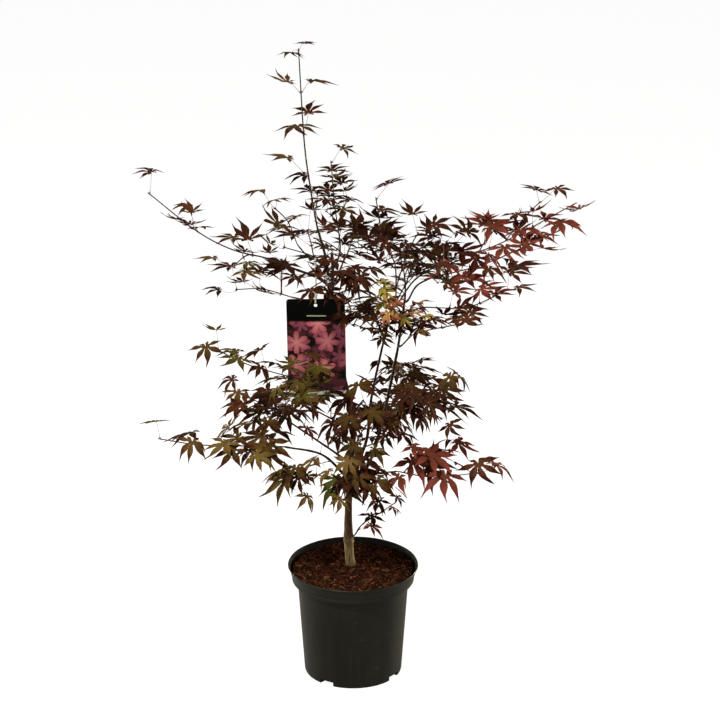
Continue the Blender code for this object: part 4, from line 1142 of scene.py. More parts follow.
@dataclass(frozen=True)
class CardFinish:
    """Printed card: a dark head with one pale row, a field of large blossoms, a pale foot and a plain back.

    Heights are shares of half the card's height from its centre, and widths of half its width.
    """

    centre: Vector
    half_width: float
    half_height: float
    ground: tuple = ((0.006, 0.006, 0.004), (0.17, 0.04, 0.055))
    layers: tuple = (Blossoms(27.0, 0.52, (0.26, 0.06, 0.1), (0.55, 0.17, 0.22)),
                     Blossoms(19.0, 0.5, (0.55, 0.1, 0.13), (1.0, 0.44, 0.42)))
    head_from: tuple = (0.52, 0.56)
    head: Colour = (0.0006, 0.0012, 0.0006)
    row_height: float = 0.66
    row_edge: tuple = (0.014, 0.01)
    row_end: tuple = (0.34, 0.32)
    row: Colour = (0.42, 0.5, 0.3)
    foot_from: tuple = (-0.86, -0.87)
    foot: Colour = (0.93, 0.91, 0.84)
    back: Colour = (0.66, 0.65, 0.62)

    def build(self, groups: NoiseGroups) -> Material:
        """The card's material.

        Args:
            groups: The shared noise.

        Returns:
            The material.
        """
        nodes = GrainedFinish(groups, "printed_card", 0.12)
        local = nodes.vector("SUBTRACT", nodes.place, tuple(self.centre)).outputs[0]
        across, _, up = nodes.add("SeparateXYZ", {0: local}).outputs
        flat = nodes.add("CombineXYZ", {0: across, 1: up}).outputs[0]
        picture = nodes.blend(nodes.mask(38.0, 3.0, 0.42, 0.66), *self.ground)
        for layer in self.layers:
            picture = layer.over(nodes, flat, picture)
        height = nodes.math("DIVIDE", up, self.half_height)
        side = nodes.math("DIVIDE", across, self.half_width)
        picture = nodes.blend(nodes.span(height, *self.head_from), picture, self.head)
        away = nodes.math("ABSOLUTE", nodes.math("SUBTRACT", height, self.row_height))
        row = nodes.span(away, *self.row_edge)
        inside = nodes.span(nodes.math("ABSOLUTE", side), *self.row_end)
        picture = nodes.blend(nodes.math("MULTIPLY", row, inside), picture, self.row)
        front = nodes.blend(nodes.span(height, *self.foot_from), picture, self.foot)
        normal = nodes.add("SeparateXYZ", {0: nodes.add("NewGeometry").outputs["True Normal"]})
        colour = nodes.blend(nodes.span(normal.outputs[1], -0.4, -0.2), front, self.back)
        gloss = nodes.span(nodes.mask(130.0, 2.0, 0.3, 0.7), 0.0, 1.0, 0.26, 0.36)
        return nodes.end(colour, gloss, (600.0, 0.05, 0.0004))


# ---- leaves


@dataclass(frozen=True)
class LeafShape:
    """Outline of a palmate leaf of length 1, its hub at the origin and its middle lobe along +X.

    Each lobe has a turn and a reach; its edge runs from the notch to the tip through samples that give
    the share of the way and the share of the half width, paired so that small teeth point forward.
    """

    turns: tuple = (-134.0, -91.0, -45.0, 0.0, 45.0, 91.0, 134.0)
    reaches: tuple = (0.33, 0.72, 0.96, 1.0, 0.96, 0.72, 0.33)
    half_width: float = 0.118
    notch: float = 0.135
    rib: float = 0.0065
    hub: float = 0.022
    fold: float = 0.42
    edge: tuple = ((0.07, 0.48), (0.17, 0.78), (0.185, 0.72), (0.29, 1.0), (0.305, 0.94), (0.4, 1.02),
                   (0.415, 0.94), (0.52, 0.8), (0.535, 0.72), (0.67, 0.36), (0.82, 0.12))
    stations: tuple = (3, 7)


class Part(Enum):
    """Parts of a leaf that take a colour of their own."""

    BODY = "body"
    MIDDLE = "middle"
    TIP = "tip"
    RIB = "rib"


@dataclass
class LeafTemplate:
    """Points of a leaf, and its faces as pairs of an array for one number of corners and their part."""

    points: Array
    faces: list


def make_template(shape: LeafShape, droop: float, seed: int) -> LeafTemplate:
    """Leaf whose lobes bend down along arcs.

    A point at distance r from the hub in direction a is carried to (sin(k r) / k) in that direction and
    lowered by (1 - cos(k r)) / k, with k the bend of its lobe; each half lobe is raised by fold * its
    distance from the rib.

    Args:
        shape: Outline of the leaf.
        droop: Mean bend k of the lobes.
        seed: Seed of the small differences between lobes.

    Returns:
        The template.
    """
    rng = np.random.default_rng(seed)
    count = len(shape.turns)
    turns = np.radians(np.array(shape.turns) + rng.normal(0.0, 4.5, count))
    reaches = np.array(shape.reaches) * rng.uniform(0.84, 1.08, count)
    bends = droop * rng.uniform(0.45, 1.75, count)
    sways = rng.normal(0.0, 0.18, count)
    steps, widths = np.array(shape.edge).T
    cuts = (-1, *shape.stations, len(steps) - 1)
    flat, bend, lifts = [], [], []
    cells = {part: [] for part in Part}
    ribs = cells[Part.RIB]

    def put(distance: float, turn: float, curve: float, lift: float) -> int:
        """Number of a new point."""
        flat.append((distance, turn))
        bend.append(curve)
        lifts.append(lift)
        return len(flat) - 1

    def lobe_point(lobe: int, along: float, aside: float) -> int:
        """Number of a new point given along and to the left of a lobe's rib."""
        turn = turns[lobe] + math.atan2(aside, along) + sways[lobe] * (along / reaches[lobe]) ** 2
        return put(math.hypot(along, aside), turn, bends[lobe], shape.fold * abs(aside))

    gaps = [turns[0] - 0.5, *(turns[1:] + turns[:-1]) / 2.0, turns[-1] + 0.5]
    depths = [0.05, *(shape.notch * rng.uniform(0.85, 1.15, count - 1)), 0.05]
    means = np.concatenate((bends[:1], (bends[1:] + bends[:-1]) / 2.0, bends[-1:]))
    notches = [put(*place, shape.fold * place[0] * 0.3) for place in zip(depths, gaps, means)]
    hub = [tuple(lobe_point(lobe, shape.hub, side * shape.rib) for side in (-1.0, 1.0))
           for lobe in range(count)]
    for lobe in range(count):
        reach = reaches[lobe]
        width = shape.half_width * (0.35 + 0.65 * reach) * rng.uniform(0.88, 1.14)
        tip = lobe_point(lobe, reach, 0.0)
        edges = []
        for side, notch in ((-1.0, lobe), (1.0, lobe + 1)):
            gap = abs(gaps[notch] - turns[lobe])
            begin = depths[notch] * math.cos(gap)
            way = begin + (reach - begin) * steps
            asides = side * widths * width
            edges.append([lobe_point(lobe, along, aside) for along, aside in zip(way, asides)])
        begin = shape.notch * 0.9
        spots = [(begin + (reach - begin) * steps[index]) * 0.82 for index in shape.stations]
        spine = [tuple(lobe_point(lobe, spot, side * shape.rib * thin) for side in (-1.0, 1.0))
                 for spot, thin in zip(spots, (0.8, 0.5))]
        line = [hub[lobe], *spine]
        for (right, left), (far_right, far_left) in zip(line, line[1:]):
            ribs.append((right, far_right, far_left, left))
        ribs.append((spine[-1][0], tip, spine[-1][1]))
        for side, samples in enumerate(edges):
            rim = [notches[lobe + side], *samples]
            heels = [*(pair[side] for pair in line), tip]
            for index, part in enumerate((Part.BODY, Part.MIDDLE, Part.TIP)):
                face = [*heels[index : index + 2], *reversed(rim[cuts[index] + 1 : cuts[index + 1] + 2])]
                if part is Part.BODY and side and lobe + 1 < count:
                    face.append(hub[lobe + 1][0])
                cells[part].append(face if side else face[::-1])
    ribs.append(tuple(point for pair in hub for point in pair))
    distance, turn = np.array(flat).T
    curve = np.array(bend)
    level = np.sin(curve * distance) / curve
    drop = (1.0 - np.cos(curve * distance)) / curve
    points = np.stack((level * np.cos(turn), level * np.sin(turn), np.array(lifts) - drop), -1)
    faces = [(block, part) for part, found in cells.items() for block in by_size(found)]
    return LeafTemplate(points, faces)


def by_size(polygons: Sequence[Sequence[int]]) -> list:
    """Arrays of corner numbers, one for each number of corners."""
    sizes = sorted({len(polygon) for polygon in polygons})
    return [np.array([polygon for polygon in polygons if len(polygon) == size]) for size in sizes]


SHADES = {
    "umber": Shade("leaf_umber", (0.034, 0.0125, 0.0052)),
    "mahogany": Shade("leaf_mahogany", (0.055, 0.0145, 0.0066)),
    "maroon": Shade("leaf_maroon", (0.05, 0.0085, 0.007)),
    "chestnut": Shade("leaf_chestnut", (0.1, 0.032, 0.0125)),
    "russet": Shade("leaf_russet", (0.145, 0.036, 0.021)),
    "scarlet": Shade("leaf_scarlet", (0.25, 0.05, 0.034)),
    "olive": Shade("leaf_dull_olive", (0.07, 0.044, 0.0085)),
    "bronze": Shade("leaf_bronze", (0.125, 0.071, 0.017)),
    "gold": Shade("leaf_gold", (0.18, 0.118, 0.03)),
    "moss": Shade("leaf_moss", (0.09, 0.08, 0.012)),
    "green": Shade("leaf_fresh_green", (0.11, 0.14, 0.02)),
    "lime": Shade("leaf_lime", (0.38, 0.35, 0.06)),
    "amber": Shade("leaf_amber", (0.42, 0.23, 0.055)),
    "salmon": Shade("leaf_salmon", (0.36, 0.12, 0.055)),
}
LEAF_SEED = 100
RIB_SHADE = Shade("leaf_rib", (0.15, 0.055, 0.026), 0.5)
# Shade of the lobes' tips for each shade of the body.
TIPS = {
    "umber": "mahogany", "mahogany": "umber", "maroon": "mahogany", "chestnut": "mahogany",
    "russet": "scarlet", "scarlet": "russet", "olive": "mahogany", "bronze": "chestnut", "gold": "bronze",
    "moss": "olive", "green": "moss", "lime": "amber", "amber": "salmon", "salmon": "russet",
}


def middle_shade(name: str) -> Shade:
    """Shade halfway between that of a leaf's body and that of its tips."""
    near, far = SHADES[name].colour, SHADES[TIPS[name]].colour
    return Shade(f"{SHADES[name].name}_middle", tuple(0.62 * a + 0.38 * b for a, b in zip(near, far)))


# Shade, weight near the start of a shoot and weight at its tip.
MIXES = {
    Mix.DUSK: (("umber", 4.4, 2.6), ("mahogany", 2.6, 2.0), ("maroon", 1.0, 0.8), ("chestnut", 1.2, 1.8),
               ("russet", 0.0, 0.15), ("bronze", 0.8, 0.8), ("olive", 1.9, 1.4)),
    Mix.WINE: (("umber", 1.4, 0.0), ("mahogany", 2.6, 0.3), ("maroon", 1.2, 0.4), ("chestnut", 3.2, 1.4),
               ("russet", 1.0, 3.4), ("scarlet", 0.0, 1.7)),
    Mix.EARTH: (("umber", 4.4, 1.8), ("mahogany", 2.0, 1.4), ("olive", 2.9, 1.6), ("bronze", 1.0, 1.2),
                ("chestnut", 1.0, 1.8), ("russet", 0.0, 0.8), ("moss", 0.3, 0.2), ("green", 0.08, 0.0)),
    Mix.OLIVE: (("umber", 1.1, 0.5), ("mahogany", 0.9, 0.5), ("olive", 1.8, 1.0), ("bronze", 2.1, 2.3),
                ("gold", 0.9, 1.6), ("chestnut", 1.2, 1.2), ("green", 0.15, 0.0)),
    Mix.MOSS: (("umber", 3.0, 0.0), ("mahogany", 1.0, 0.0), ("olive", 2.4, 1.0), ("moss", 0.5, 5.0),
               ("green", 0.0, 1.0), ("bronze", 0.9, 0.4)),
    Mix.YOUNG: (("bronze", 0.2, 0.1), ("lime", 3.4, 2.6), ("amber", 1.1, 1.3), ("salmon", 0.3, 0.7),
                ("gold", 0.6, 0.4)),
}


@dataclass
class Pose:
    """A leaf in place: the foot of its stalk, its hub, its middle rib, its upper side and its shade."""

    foot: Vector
    leave: Vector
    hub: Vector
    along: Vector
    normal: Vector
    length: float
    variant: int
    shade: str = "umber"

    def proxy(self) -> tuple[list, list]:
        """Coarse leaf: a kite for each lobe, and a sliver for the stalk.

        Returns:
            Its points and triangles.
        """
        across = self.normal.cross(self.along)
        points, faces = [self.hub], []
        droop = FoliageRules.droops[self.variant]
        for turn, reach in zip(LeafShape.turns[1:-1], LeafShape.reaches[1:-1]):
            for angle, far in ((turn - 9.0, 0.5 * reach), (turn, reach), (turn + 9.0, 0.5 * reach)):
                flat = self.along * math.cos(math.radians(angle)) + across * math.sin(math.radians(angle))
                drop = self.normal * (0.5 * droop * far * far)
                points.append(self.hub + (flat * far - drop) * self.length)
            last = len(points) - 1
            faces += [(0, last - 2, last - 1), (0, last - 1, last)]
        points += [self.foot.lerp(self.hub, 0.45), self.foot.lerp(self.hub, 0.8) + across * 0.0004]
        faces.append((len(points) - 2, len(points) - 1, 0))
        return points, faces


@dataclass(frozen=True)
class FoliageRules:
    """Sizes of the growth rule, in centimetres, save room and clearance in metres."""

    internode: float = 4.6
    first_node: float = 0.55
    petiole: float = 3.6
    leaf: float = 7.2
    level_pair_turn: float = 38.0
    pair_wobble: float = 24.0
    tip_shrink: float = 0.16
    spur_chance: float = 0.45
    spur_reach: tuple = (1.6, 5.2)
    spur_spread: float = 0.75
    seam: float = 2.6
    tries: int = 14
    room: float = 0.006
    clearance: float = 0.0006
    droops: tuple = (-0.6, 0.12, 0.4, 0.65, 0.95, 1.25)
    limb_spacing: float = 5.0
    limb_end: float = 0.97
    last_node: float = 0.995
    swing: float = 0.45
    spur_arch: float = 0.3
    spur_radii: tuple = (0.13, 0.09)
    foot: float = 0.7
    late_size: float = 0.82
    own_shade: float = 0.8


class Crowd:
    """Coarse shapes of all that stands in the crown, kept in cubes so that near ones are found fast."""

    cube = 0.11

    def __init__(self) -> None:
        """Start with nothing placed."""
        self.cells: dict = {}
        self.solid: BVHTree | None = None

    def near(self, centre: Vector) -> list:
        """Trees whose centres lie in the cubes about a point.

        Args:
            centre: The point.

        Returns:
            The trees.
        """
        x, y, z = (math.floor(value / self.cube) for value in centre)
        found = []
        for dx, dy, dz in itertools.product((-1, 0, 1), repeat=3):
            found += self.cells.get((x + dx, y + dy, z + dz), ())
        return found

    def free(self, centre: Vector, tree: BVHTree) -> bool:
        """Whether a shape crosses neither the limbs nor a shape near it."""
        if self.solid.overlap(tree):
            return False
        return not any(other.overlap(tree) for other in self.near(centre))

    def put(self, centre: Vector, tree: BVHTree) -> None:
        """Keep a shape."""
        key = tuple(math.floor(value / self.cube) for value in centre)
        self.cells.setdefault(key, []).append(tree)


def tube_shape(limb: Limb, extra: float, sides: int = 5) -> tuple[list, list]:
    """Points and quads of a coarse tube about a limb, a little stouter than it is."""
    centre = np.array([tuple(point) for point in limb.centre])
    rings = circles(centre, ring_frames(centre), (np.array(limb.radii) + extra)[:, None], sides)
    return rings.reshape(-1, 3).tolist(), grid_faces(len(centre), sides).tolist()


@dataclass
class Twig:
    """A twig to be modelled: its limb, the shares of its length with nodes, and if it is a mass's stem."""

    limb: Limb
    nodes: list = field(default_factory=list)
    stem: bool = False


@dataclass(frozen=True)
class Joint:
    """Where a leaf or spur leaves a twig: its mass, address and foot, and the ways out and along."""

    plan: MassPlan
    address: str
    foot: Vector
    out: Vector
    along: Vector

    def draws(self, purpose: object) -> random.Random:
        """Random draws of this joint for one purpose."""
        return random.Random(f"{self.plan.name} {self.address} {purpose}")


class Foliage:
    """Twigs, buds, stalks and leaves of every mass, grown by the seeded rule."""

    def __init__(self, skeleton: Skeleton, rules: FoliageRules,
                 blocks: Sequence[tuple[list, list]]) -> None:
        """Start with bare limbs.

        Args:
            skeleton: The limbs.
            rules: How twigs and leaves grow.
            blocks: Points and faces of the pieces that the leaves keep clear of.
        """
        self.skeleton = skeleton
        self.rules = rules
        self.twigs: list[Twig] = []
        self.buds: list[tuple[Vector, Vector, float]] = []
        self.leaves: dict[str, list[Pose]] = {}
        samples = {name: [point for limb in axes for point in limb.centre]
                   for name, axes in skeleton.axes.items()}
        self.own = {name: self.tree(points) for name, points in samples.items()}
        self.whole = self.tree([point for points in samples.values() for point in points])
        self.owners = [plan for plan in MASSES for _ in samples[plan.name]]
        self.crowd = Crowd()
        limbs = itertools.chain(skeleton.limbs.values(), *skeleton.axes.values())
        points, faces = [], []
        for near, quads in (*(tube_shape(limb, rules.clearance) for limb in limbs), *blocks):
            faces += [[corner + len(points) for corner in quad] for quad in quads]
            points += near
        self.crowd.solid = BVHTree.FromPolygons(points, faces)
        room = Vector((rules.room,) * 3)
        self.low, self.high = Vector(CAD_BOX[0]) - room, Vector(CAD_BOX[1]) + room

    @staticmethod
    def tree(points: Sequence[Vector]) -> kdtree.KDTree:
        """Search tree of points.

        Args:
            points: Points for the tree.

        Returns:
            The tree.
        """
        found = kdtree.KDTree(len(points))
        for index, point in enumerate(points):
            found.insert(point, index)
        found.balance()
        return found

    def grow(self) -> None:
        """Grow every mass in the order of the table."""
        for plan in MASSES:
            self.leaves.setdefault(plan.slot, [])
            before = sum(map(len, self.leaves.values()))
            for index, limb in enumerate(self.skeleton.axes[plan.name]):
                twig = Twig(limb, stem=index == 0)
                self.twigs.append(twig)
                start = plan.shoots[index - 1][0] if index else 0.0
                self.dress(plan, str(index), twig, self.rules.first_node * self.rules.internode, 2, start)
            log.info("%s: %d leaves", plan.name, sum(map(len, self.leaves.values())) - before)
        for name, (start, chance) in CLOTHED.items():
            self.clothe(name, self.skeleton.limbs[name], start, chance)

    def clothe(self, name: str, limb: Limb, start: float, chance: float) -> None:
        """Leafy spurs along a limb, each kept with the mass nearest to it.

        Args:
            name: The limb's name.
            limb: The limb.
            start: Share of its length from which they stand.
            chance: Chance of each.
        """
        rules, rng = self.rules, random.Random(f"{name} spurs")
        count = max(1, round(limb.length() / CM * (1.0 - start) / rules.limb_spacing))
        ripe = 0.1
        for index in range(count):
            share = start + (rules.limb_end - start) * (index + rng.random() * 0.6) / count
            node, along, radius = limb.place(share)
            level = along.orthogonal().normalized()
            for side in range(2):
                out = (Matrix.Rotation(rng.uniform(0.0, math.tau), 3, along) @ level).normalized()
                plan = self.owners[self.whole.find(node + out * 0.05)[1]]
                foot = node + out * (radius * rules.foot)
                joint = Joint(plan, f"{name} {index} {side}", foot, out, along)
                if rng.random() > chance:
                    continue
                if not self.spur(joint, 1, ripe):
                    self.leaf(joint, plan.leaf, self.shade(plan, joint.address, ripe))

    def fits(self, plan: MassPlan, points: Sequence[Vector], faces: list, centre: Vector) -> BVHTree | None:
        """Test a shape against the mass's space, the box and all that stands.

        Args:
            plan: The mass.
            points: The shape's points.
            faces: Its faces.
            centre: Its middle.

        Returns:
            Its tree if it keeps to the space inside the box and crosses nothing, or None.
        """
        own, whole = self.own[plan.name], self.whole
        for point in points:
            if any(value < low or value > high for value, low, high in zip(point, self.low, self.high)):
                return None
            if own.find(point)[2] > whole.find(point)[2] + self.rules.seam * CM:
                return None
        tree = BVHTree.FromPolygons(points, faces)
        return tree if self.crowd.free(centre, tree) else None

    def dress(self, plan: MassPlan, address: str, twig: Twig, first: float, depth: int,
              start: float) -> None:
        """Leaf pairs along a twig, turned from one pair to the next, with spurs at some.

        Args:
            plan: The mass.
            address: Place of the twig in the mass, the seed of its growth.
            twig: The twig.
            first: Where the first pair stands, in centimetres.
            depth: How many orders of spurs may follow.
            start: How near the twig's foot is to the tip of its shoot, from 0 to 1.
        """
        rules, rng = self.rules, random.Random(f"{plan.name} {address}")
        length = twig.limb.length() / CM
        spacing = rules.internode * (0.75 + 0.25 * plan.leaf) * plan.gap
        count = max(1, round((length - first) / spacing))
        quarter = rng.choice((0, 1))
        for index in range(count + 1):
            share = min((first + (length - first) * index / count) / length, rules.last_node)
            node, along, radius = twig.limb.place(share)
            twig.nodes.append(share)
            level = along.cross(UP)
            if level.length < 0.35:
                level = Vector((1.0, 0.0, 0.0)) - along * along.x
            level.normalize()
            quarter_turn = rules.level_pair_turn + (90.0 - rules.level_pair_turn) * abs(along.z)
            wobble = rng.uniform(-rules.pair_wobble, rules.pair_wobble)
            turn = math.radians(quarter_turn * ((index + quarter) % 2) + wobble)
            out = level * math.cos(turn) + level.cross(along) * math.sin(turn)
            size = plan.leaf * (1.0 - rules.tip_shrink * (index / count) ** 2)
            ripe = start + (1.0 - start) * share * (1.0 if depth > 1 else 0.3)
            shade = self.shade(plan, f"{address}.{index // 2}", ripe)
            for side in (1.0, -1.0):
                foot = node + out * (side * radius * rules.foot)
                joint = Joint(plan, f"{address}.{index}.{side}", foot, out * side, along)
                spur = depth > 0 and index < count and rng.random() < rules.spur_chance * plan.vigour
                if spur and self.spur(replace(joint, foot=node), depth, ripe):
                    continue
                if self.leaf(joint, size, shade):
                    self.buds.append((foot, (joint.out + along).normalized(), radius))
        self.buds.append(twig.limb.place(1.0))

    def shade(self, plan: MassPlan, address: str, share: float) -> str:
        """Shade of a spray, redder or paler to the tip of its shoot.

        Args:
            plan: The mass.
            address: Place of the spray in it.
            share: How near it is to the tip.

        Returns:
            Name of the shade.
        """
        mix, ripe = MIXES[plan.mix], min(1.0, 1.3 * share)
        weights = [near + (far - near) * ripe for _, near, far in mix]
        rng = random.Random(f"{plan.name} {address} shade")
        return rng.choices([name for name, _, _ in mix], weights)[0]

    def leaf(self, joint: Joint, size: float, shade: str) -> bool:
        """Put a leaf on its stalk, in the first of a few poses that fits.

        Args:
            joint: Where it stands.
            size: Its size, with 1 for a full leaf.
            shade: Shade of its spray, which most leaves take.

        Returns:
            Whether a pose fits.
        """
        rules, plan = self.rules, joint.plan
        for attempt in range(rules.tries):
            rng = joint.draws(attempt)
            late = attempt >= rules.tries // 2
            pose = self.pose(joint, size * (rules.late_size if late else 1.0), rng, late)
            tree = self.fits(plan, *pose.proxy(), pose.hub)
            if tree:
                self.crowd.put(pose.hub, tree)
                own = rng.random() < rules.own_shade
                pose.shade = shade if own else self.shade(plan, joint.address, rng.random())
                self.leaves[plan.slot].append(pose)
                return True
        return False

    def pose(self, joint: Joint, size: float, rng: random.Random, low: bool) -> Pose:
        """Pose of a leaf: its stalk rises away from the twig and its blade hangs outward.

        Args:
            joint: Where it stands.
            size: Its size.
            rng: Its random draws.
            low: Whether the stalk may hang.

        Returns:
            The pose.
        """
        rules, held, out, along = self.rules, joint.plan.habit.value, joint.out, joint.along
        lifted = Vector((out.x, out.y, max(out.z, -0.3)))
        rise = rng.uniform(-0.45, 0.3) if low else rng.uniform(0.3, 0.75)
        reach = (lifted * 0.8 + along * 0.45 * (1.0 - max(0.0, along.z) * low) + UP * rise).normalized()
        hub = joint.foot + reach * (rules.petiole * (0.5 + 0.5 * size) * rng.uniform(*held.stalk) * CM)
        outward = Vector((hub.x, hub.y, 0.0)).normalized()
        heading = Vector((reach.x, reach.y, 0.0)).normalized() + outward * 0.35
        heading = (Matrix.Rotation(rng.gauss(0.0, rules.swing), 3, UP) @ heading).normalized()
        fall = math.radians(rng.uniform(*held.fall))
        blade = heading * math.cos(fall) - UP * math.sin(fall)
        normal = (heading * math.sin(fall) + UP * math.cos(fall) + LIGHT * held.facing).normalized()
        blade = (blade - normal * blade.dot(normal)).normalized()
        normal = (Matrix.Rotation(rng.gauss(0.0, held.roll), 3, blade) @ normal).normalized()
        length = rules.leaf * size * rng.uniform(0.72, 1.14) * CM
        leave = (out * 0.7 + along * 0.5 + UP * 0.3).normalized()
        return Pose(joint.foot, leave, hub, blade, normal, length, rng.choice(held.bends))

    def spur(self, joint: Joint, depth: int, start: float) -> bool:
        """Grow a short side twig with its own leaves.

        Args:
            joint: Where it stands.
            depth: How many orders of spurs may follow, with its own.
            start: How near it is to the tip of its shoot, from 0 to 1.

        Returns:
            Whether it fits.
        """
        rules, plan, rng = self.rules, joint.plan, joint.draws("spur")
        way = ((joint.out + joint.along) * rules.spur_spread + UP * 0.2).normalized()
        tip = joint.foot + way * (rng.uniform(*rules.spur_reach) * plan.leaf * CM)
        route = arched_route(joint.foot, tip, rules.spur_arch * CM, CM)
        free = joint.foot.lerp(tip, 0.35)
        tree = self.fits(plan, [free, free + UP * 0.001, tip], [(0, 1, 2)], tip)
        if not tree:
            return False
        self.crowd.put(tip, tree)
        twig = Twig(Limb(route, even_taper(route, *rules.spur_radii)))
        self.twigs.append(twig)
        self.dress(plan, joint.address, twig, min(2.4, twig.limb.length() / CM * 0.7), depth - 1, start)
        return True


# ---- pieces of the plant


def place_piece(item: Piece, nodes: Sequence[str]) -> None:
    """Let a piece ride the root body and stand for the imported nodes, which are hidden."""
    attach(item, "root")
    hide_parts(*nodes)


@dataclass(frozen=True)
class TrunkRelief:
    """The trunk's sides and ring spacing, and the height of each form as a share of its radius."""

    sides: int = 72
    spacing: float = 0.28
    ridges: float = 0.075
    lumps: float = 0.07
    graft: float = 29.8
    graft_lumps: float = 0.16
    foot: float = 23.5
    flare: float = 0.12
    scars: tuple = (34.6, 41.2, 55.4, 70.3, 79.0)
    scar_height: float = 0.28

    def build(self, limb: Limb, material: Material) -> None:
        """Trunk whose radius is r * (1 + ridges + lumps + graft knobs + root lobes + branch scars).

        Ridges are layered noise stretched along the trunk; the graft's knobs fade by exp(-(z - z0)^2 / w^2)
        and the root lobes by exp(-(z - z0) / w); each scar is a low dome on one side.

        Args:
            limb: The trunk's limb.
            material: Its bark.
        """
        centre, radii = limb.refined(self.spacing * CM)
        height = centre[:, 2:] / CM
        angle = np.linspace(0.0, math.tau, self.sides, endpoint=False)
        around, rows = np.broadcast_arrays(angle / math.tau, height)
        ridges = layered_noise(around * 11.0, rows * 0.32, 5, 11, 4)
        lumps = layered_noise(around * 3.0, rows * 0.3, 9, 3, 3)
        knobs = layered_noise(around * 5.0, rows * 1.1, 21, 5, 3)
        swell = np.exp(-(((rows - self.graft) / 1.5) ** 2))
        foot = np.exp(-(rows - self.foot).clip(0.0) / 1.1)
        lobes = self.flare * np.cos(5.0 * angle + 1.3 * np.sin(angle)) - 0.16
        relief = 1.0 + self.ridges * ridges * (0.5 + 0.5 * (rows > self.graft)) + self.lumps * lumps
        relief += self.graft_lumps * swell * knobs + foot * lobes
        for number, scar in enumerate(self.scars):
            turn = 2.4 * number + 4.4
            gap = np.abs((angle - turn + math.pi) % math.tau - math.pi)
            relief += self.scar_height * np.exp(-((gap / 0.55) ** 2) - ((rows - scar) / 0.45) ** 2)
        bag = Bag()
        add_tube(bag, centre, radii, self.sides, relief=relief)
        place_piece(bag.build("trunk_bark", (material,)), ("trunk",))


@dataclass(frozen=True)
class LimbBark:
    """Bark of the boughs and twigs: ring spacings (cm), sides, collar and node swellings."""

    spacing: float = 0.5
    sides: int = 12
    twig_spacing: float = 0.55
    twig_sides: int = 6
    collar: float = 0.45
    collar_length: float = 1.0
    swelling: float = 0.3
    slimness: float = 0.86

    def boughs(self, limbs: dict, names: Sequence[str], piece: str, material: Material) -> None:
        """Boughs as one piece, each with a flared collar sunk into its parent.

        Args:
            limbs: The limbs by name.
            names: The boughs.
            piece: Name of the piece.
            material: Its bark.
        """
        bag = Bag()
        parents = {plan.name: plan.parent for plan in BOUGHS}
        for number, name in enumerate(names):
            limb = limbs[name]
            depth = limbs[parents[name]].place(0.5)[2] * 0.6
            sunk = Limb([limb.centre[0] - limb.out * depth, *limb.centre], [limb.radii[0], *limb.radii])
            centre, radii = sunk.refined(self.spacing * CM)
            run = np.arange(len(centre)) * (sunk.length() / (len(centre) - 1) / CM)
            radii = radii * (1.0 + self.collar * np.exp(-((run / self.collar_length) ** 2)))
            around, rows = np.broadcast_arrays(np.arange(self.sides) / self.sides, run[:, None])
            knots = np.exp(-(((run + 1.7 * number) % 5.2 - 2.6) / 0.3) ** 2)
            relief = 1.0 + 0.08 * layered_noise(around * 4.0, rows * 0.7 + 7.0 * number, 31, 4, 3)
            relief += 0.22 * knots[:, None]
            add_tube(bag, centre, radii, self.sides, relief=relief)
        place_piece(bag.build(piece, (material,)), names)

    def twigs(self, twigs: Sequence[Twig], materials: Sequence[Material]) -> None:
        """Shoots and spurs as one piece, swollen a little at their nodes.

        Args:
            twigs: The twigs.
            materials: Bark of the shoots and of the spurs.
        """
        bag = Bag()
        for twig in twigs:
            limb = twig.limb
            centre, radii = limb.refined(self.twig_spacing * CM)
            share = np.linspace(0.0, 1.0, len(centre))
            length = limb.length() / CM
            gaps = np.abs(share[:, None] - np.array(twig.nodes)[None]).min(axis=1) * length
            radii = radii * (self.slimness * (1.0 + self.swelling * np.exp(-((gaps / 0.35) ** 2))))
            if not twig.stem:
                radii[0] *= 1.25
            add_tube(bag, centre, radii, self.twig_sides, paint=0 if length > 8.0 else 1)
        place_piece(bag.build("fine_twigs", materials), MASS_NAMES)


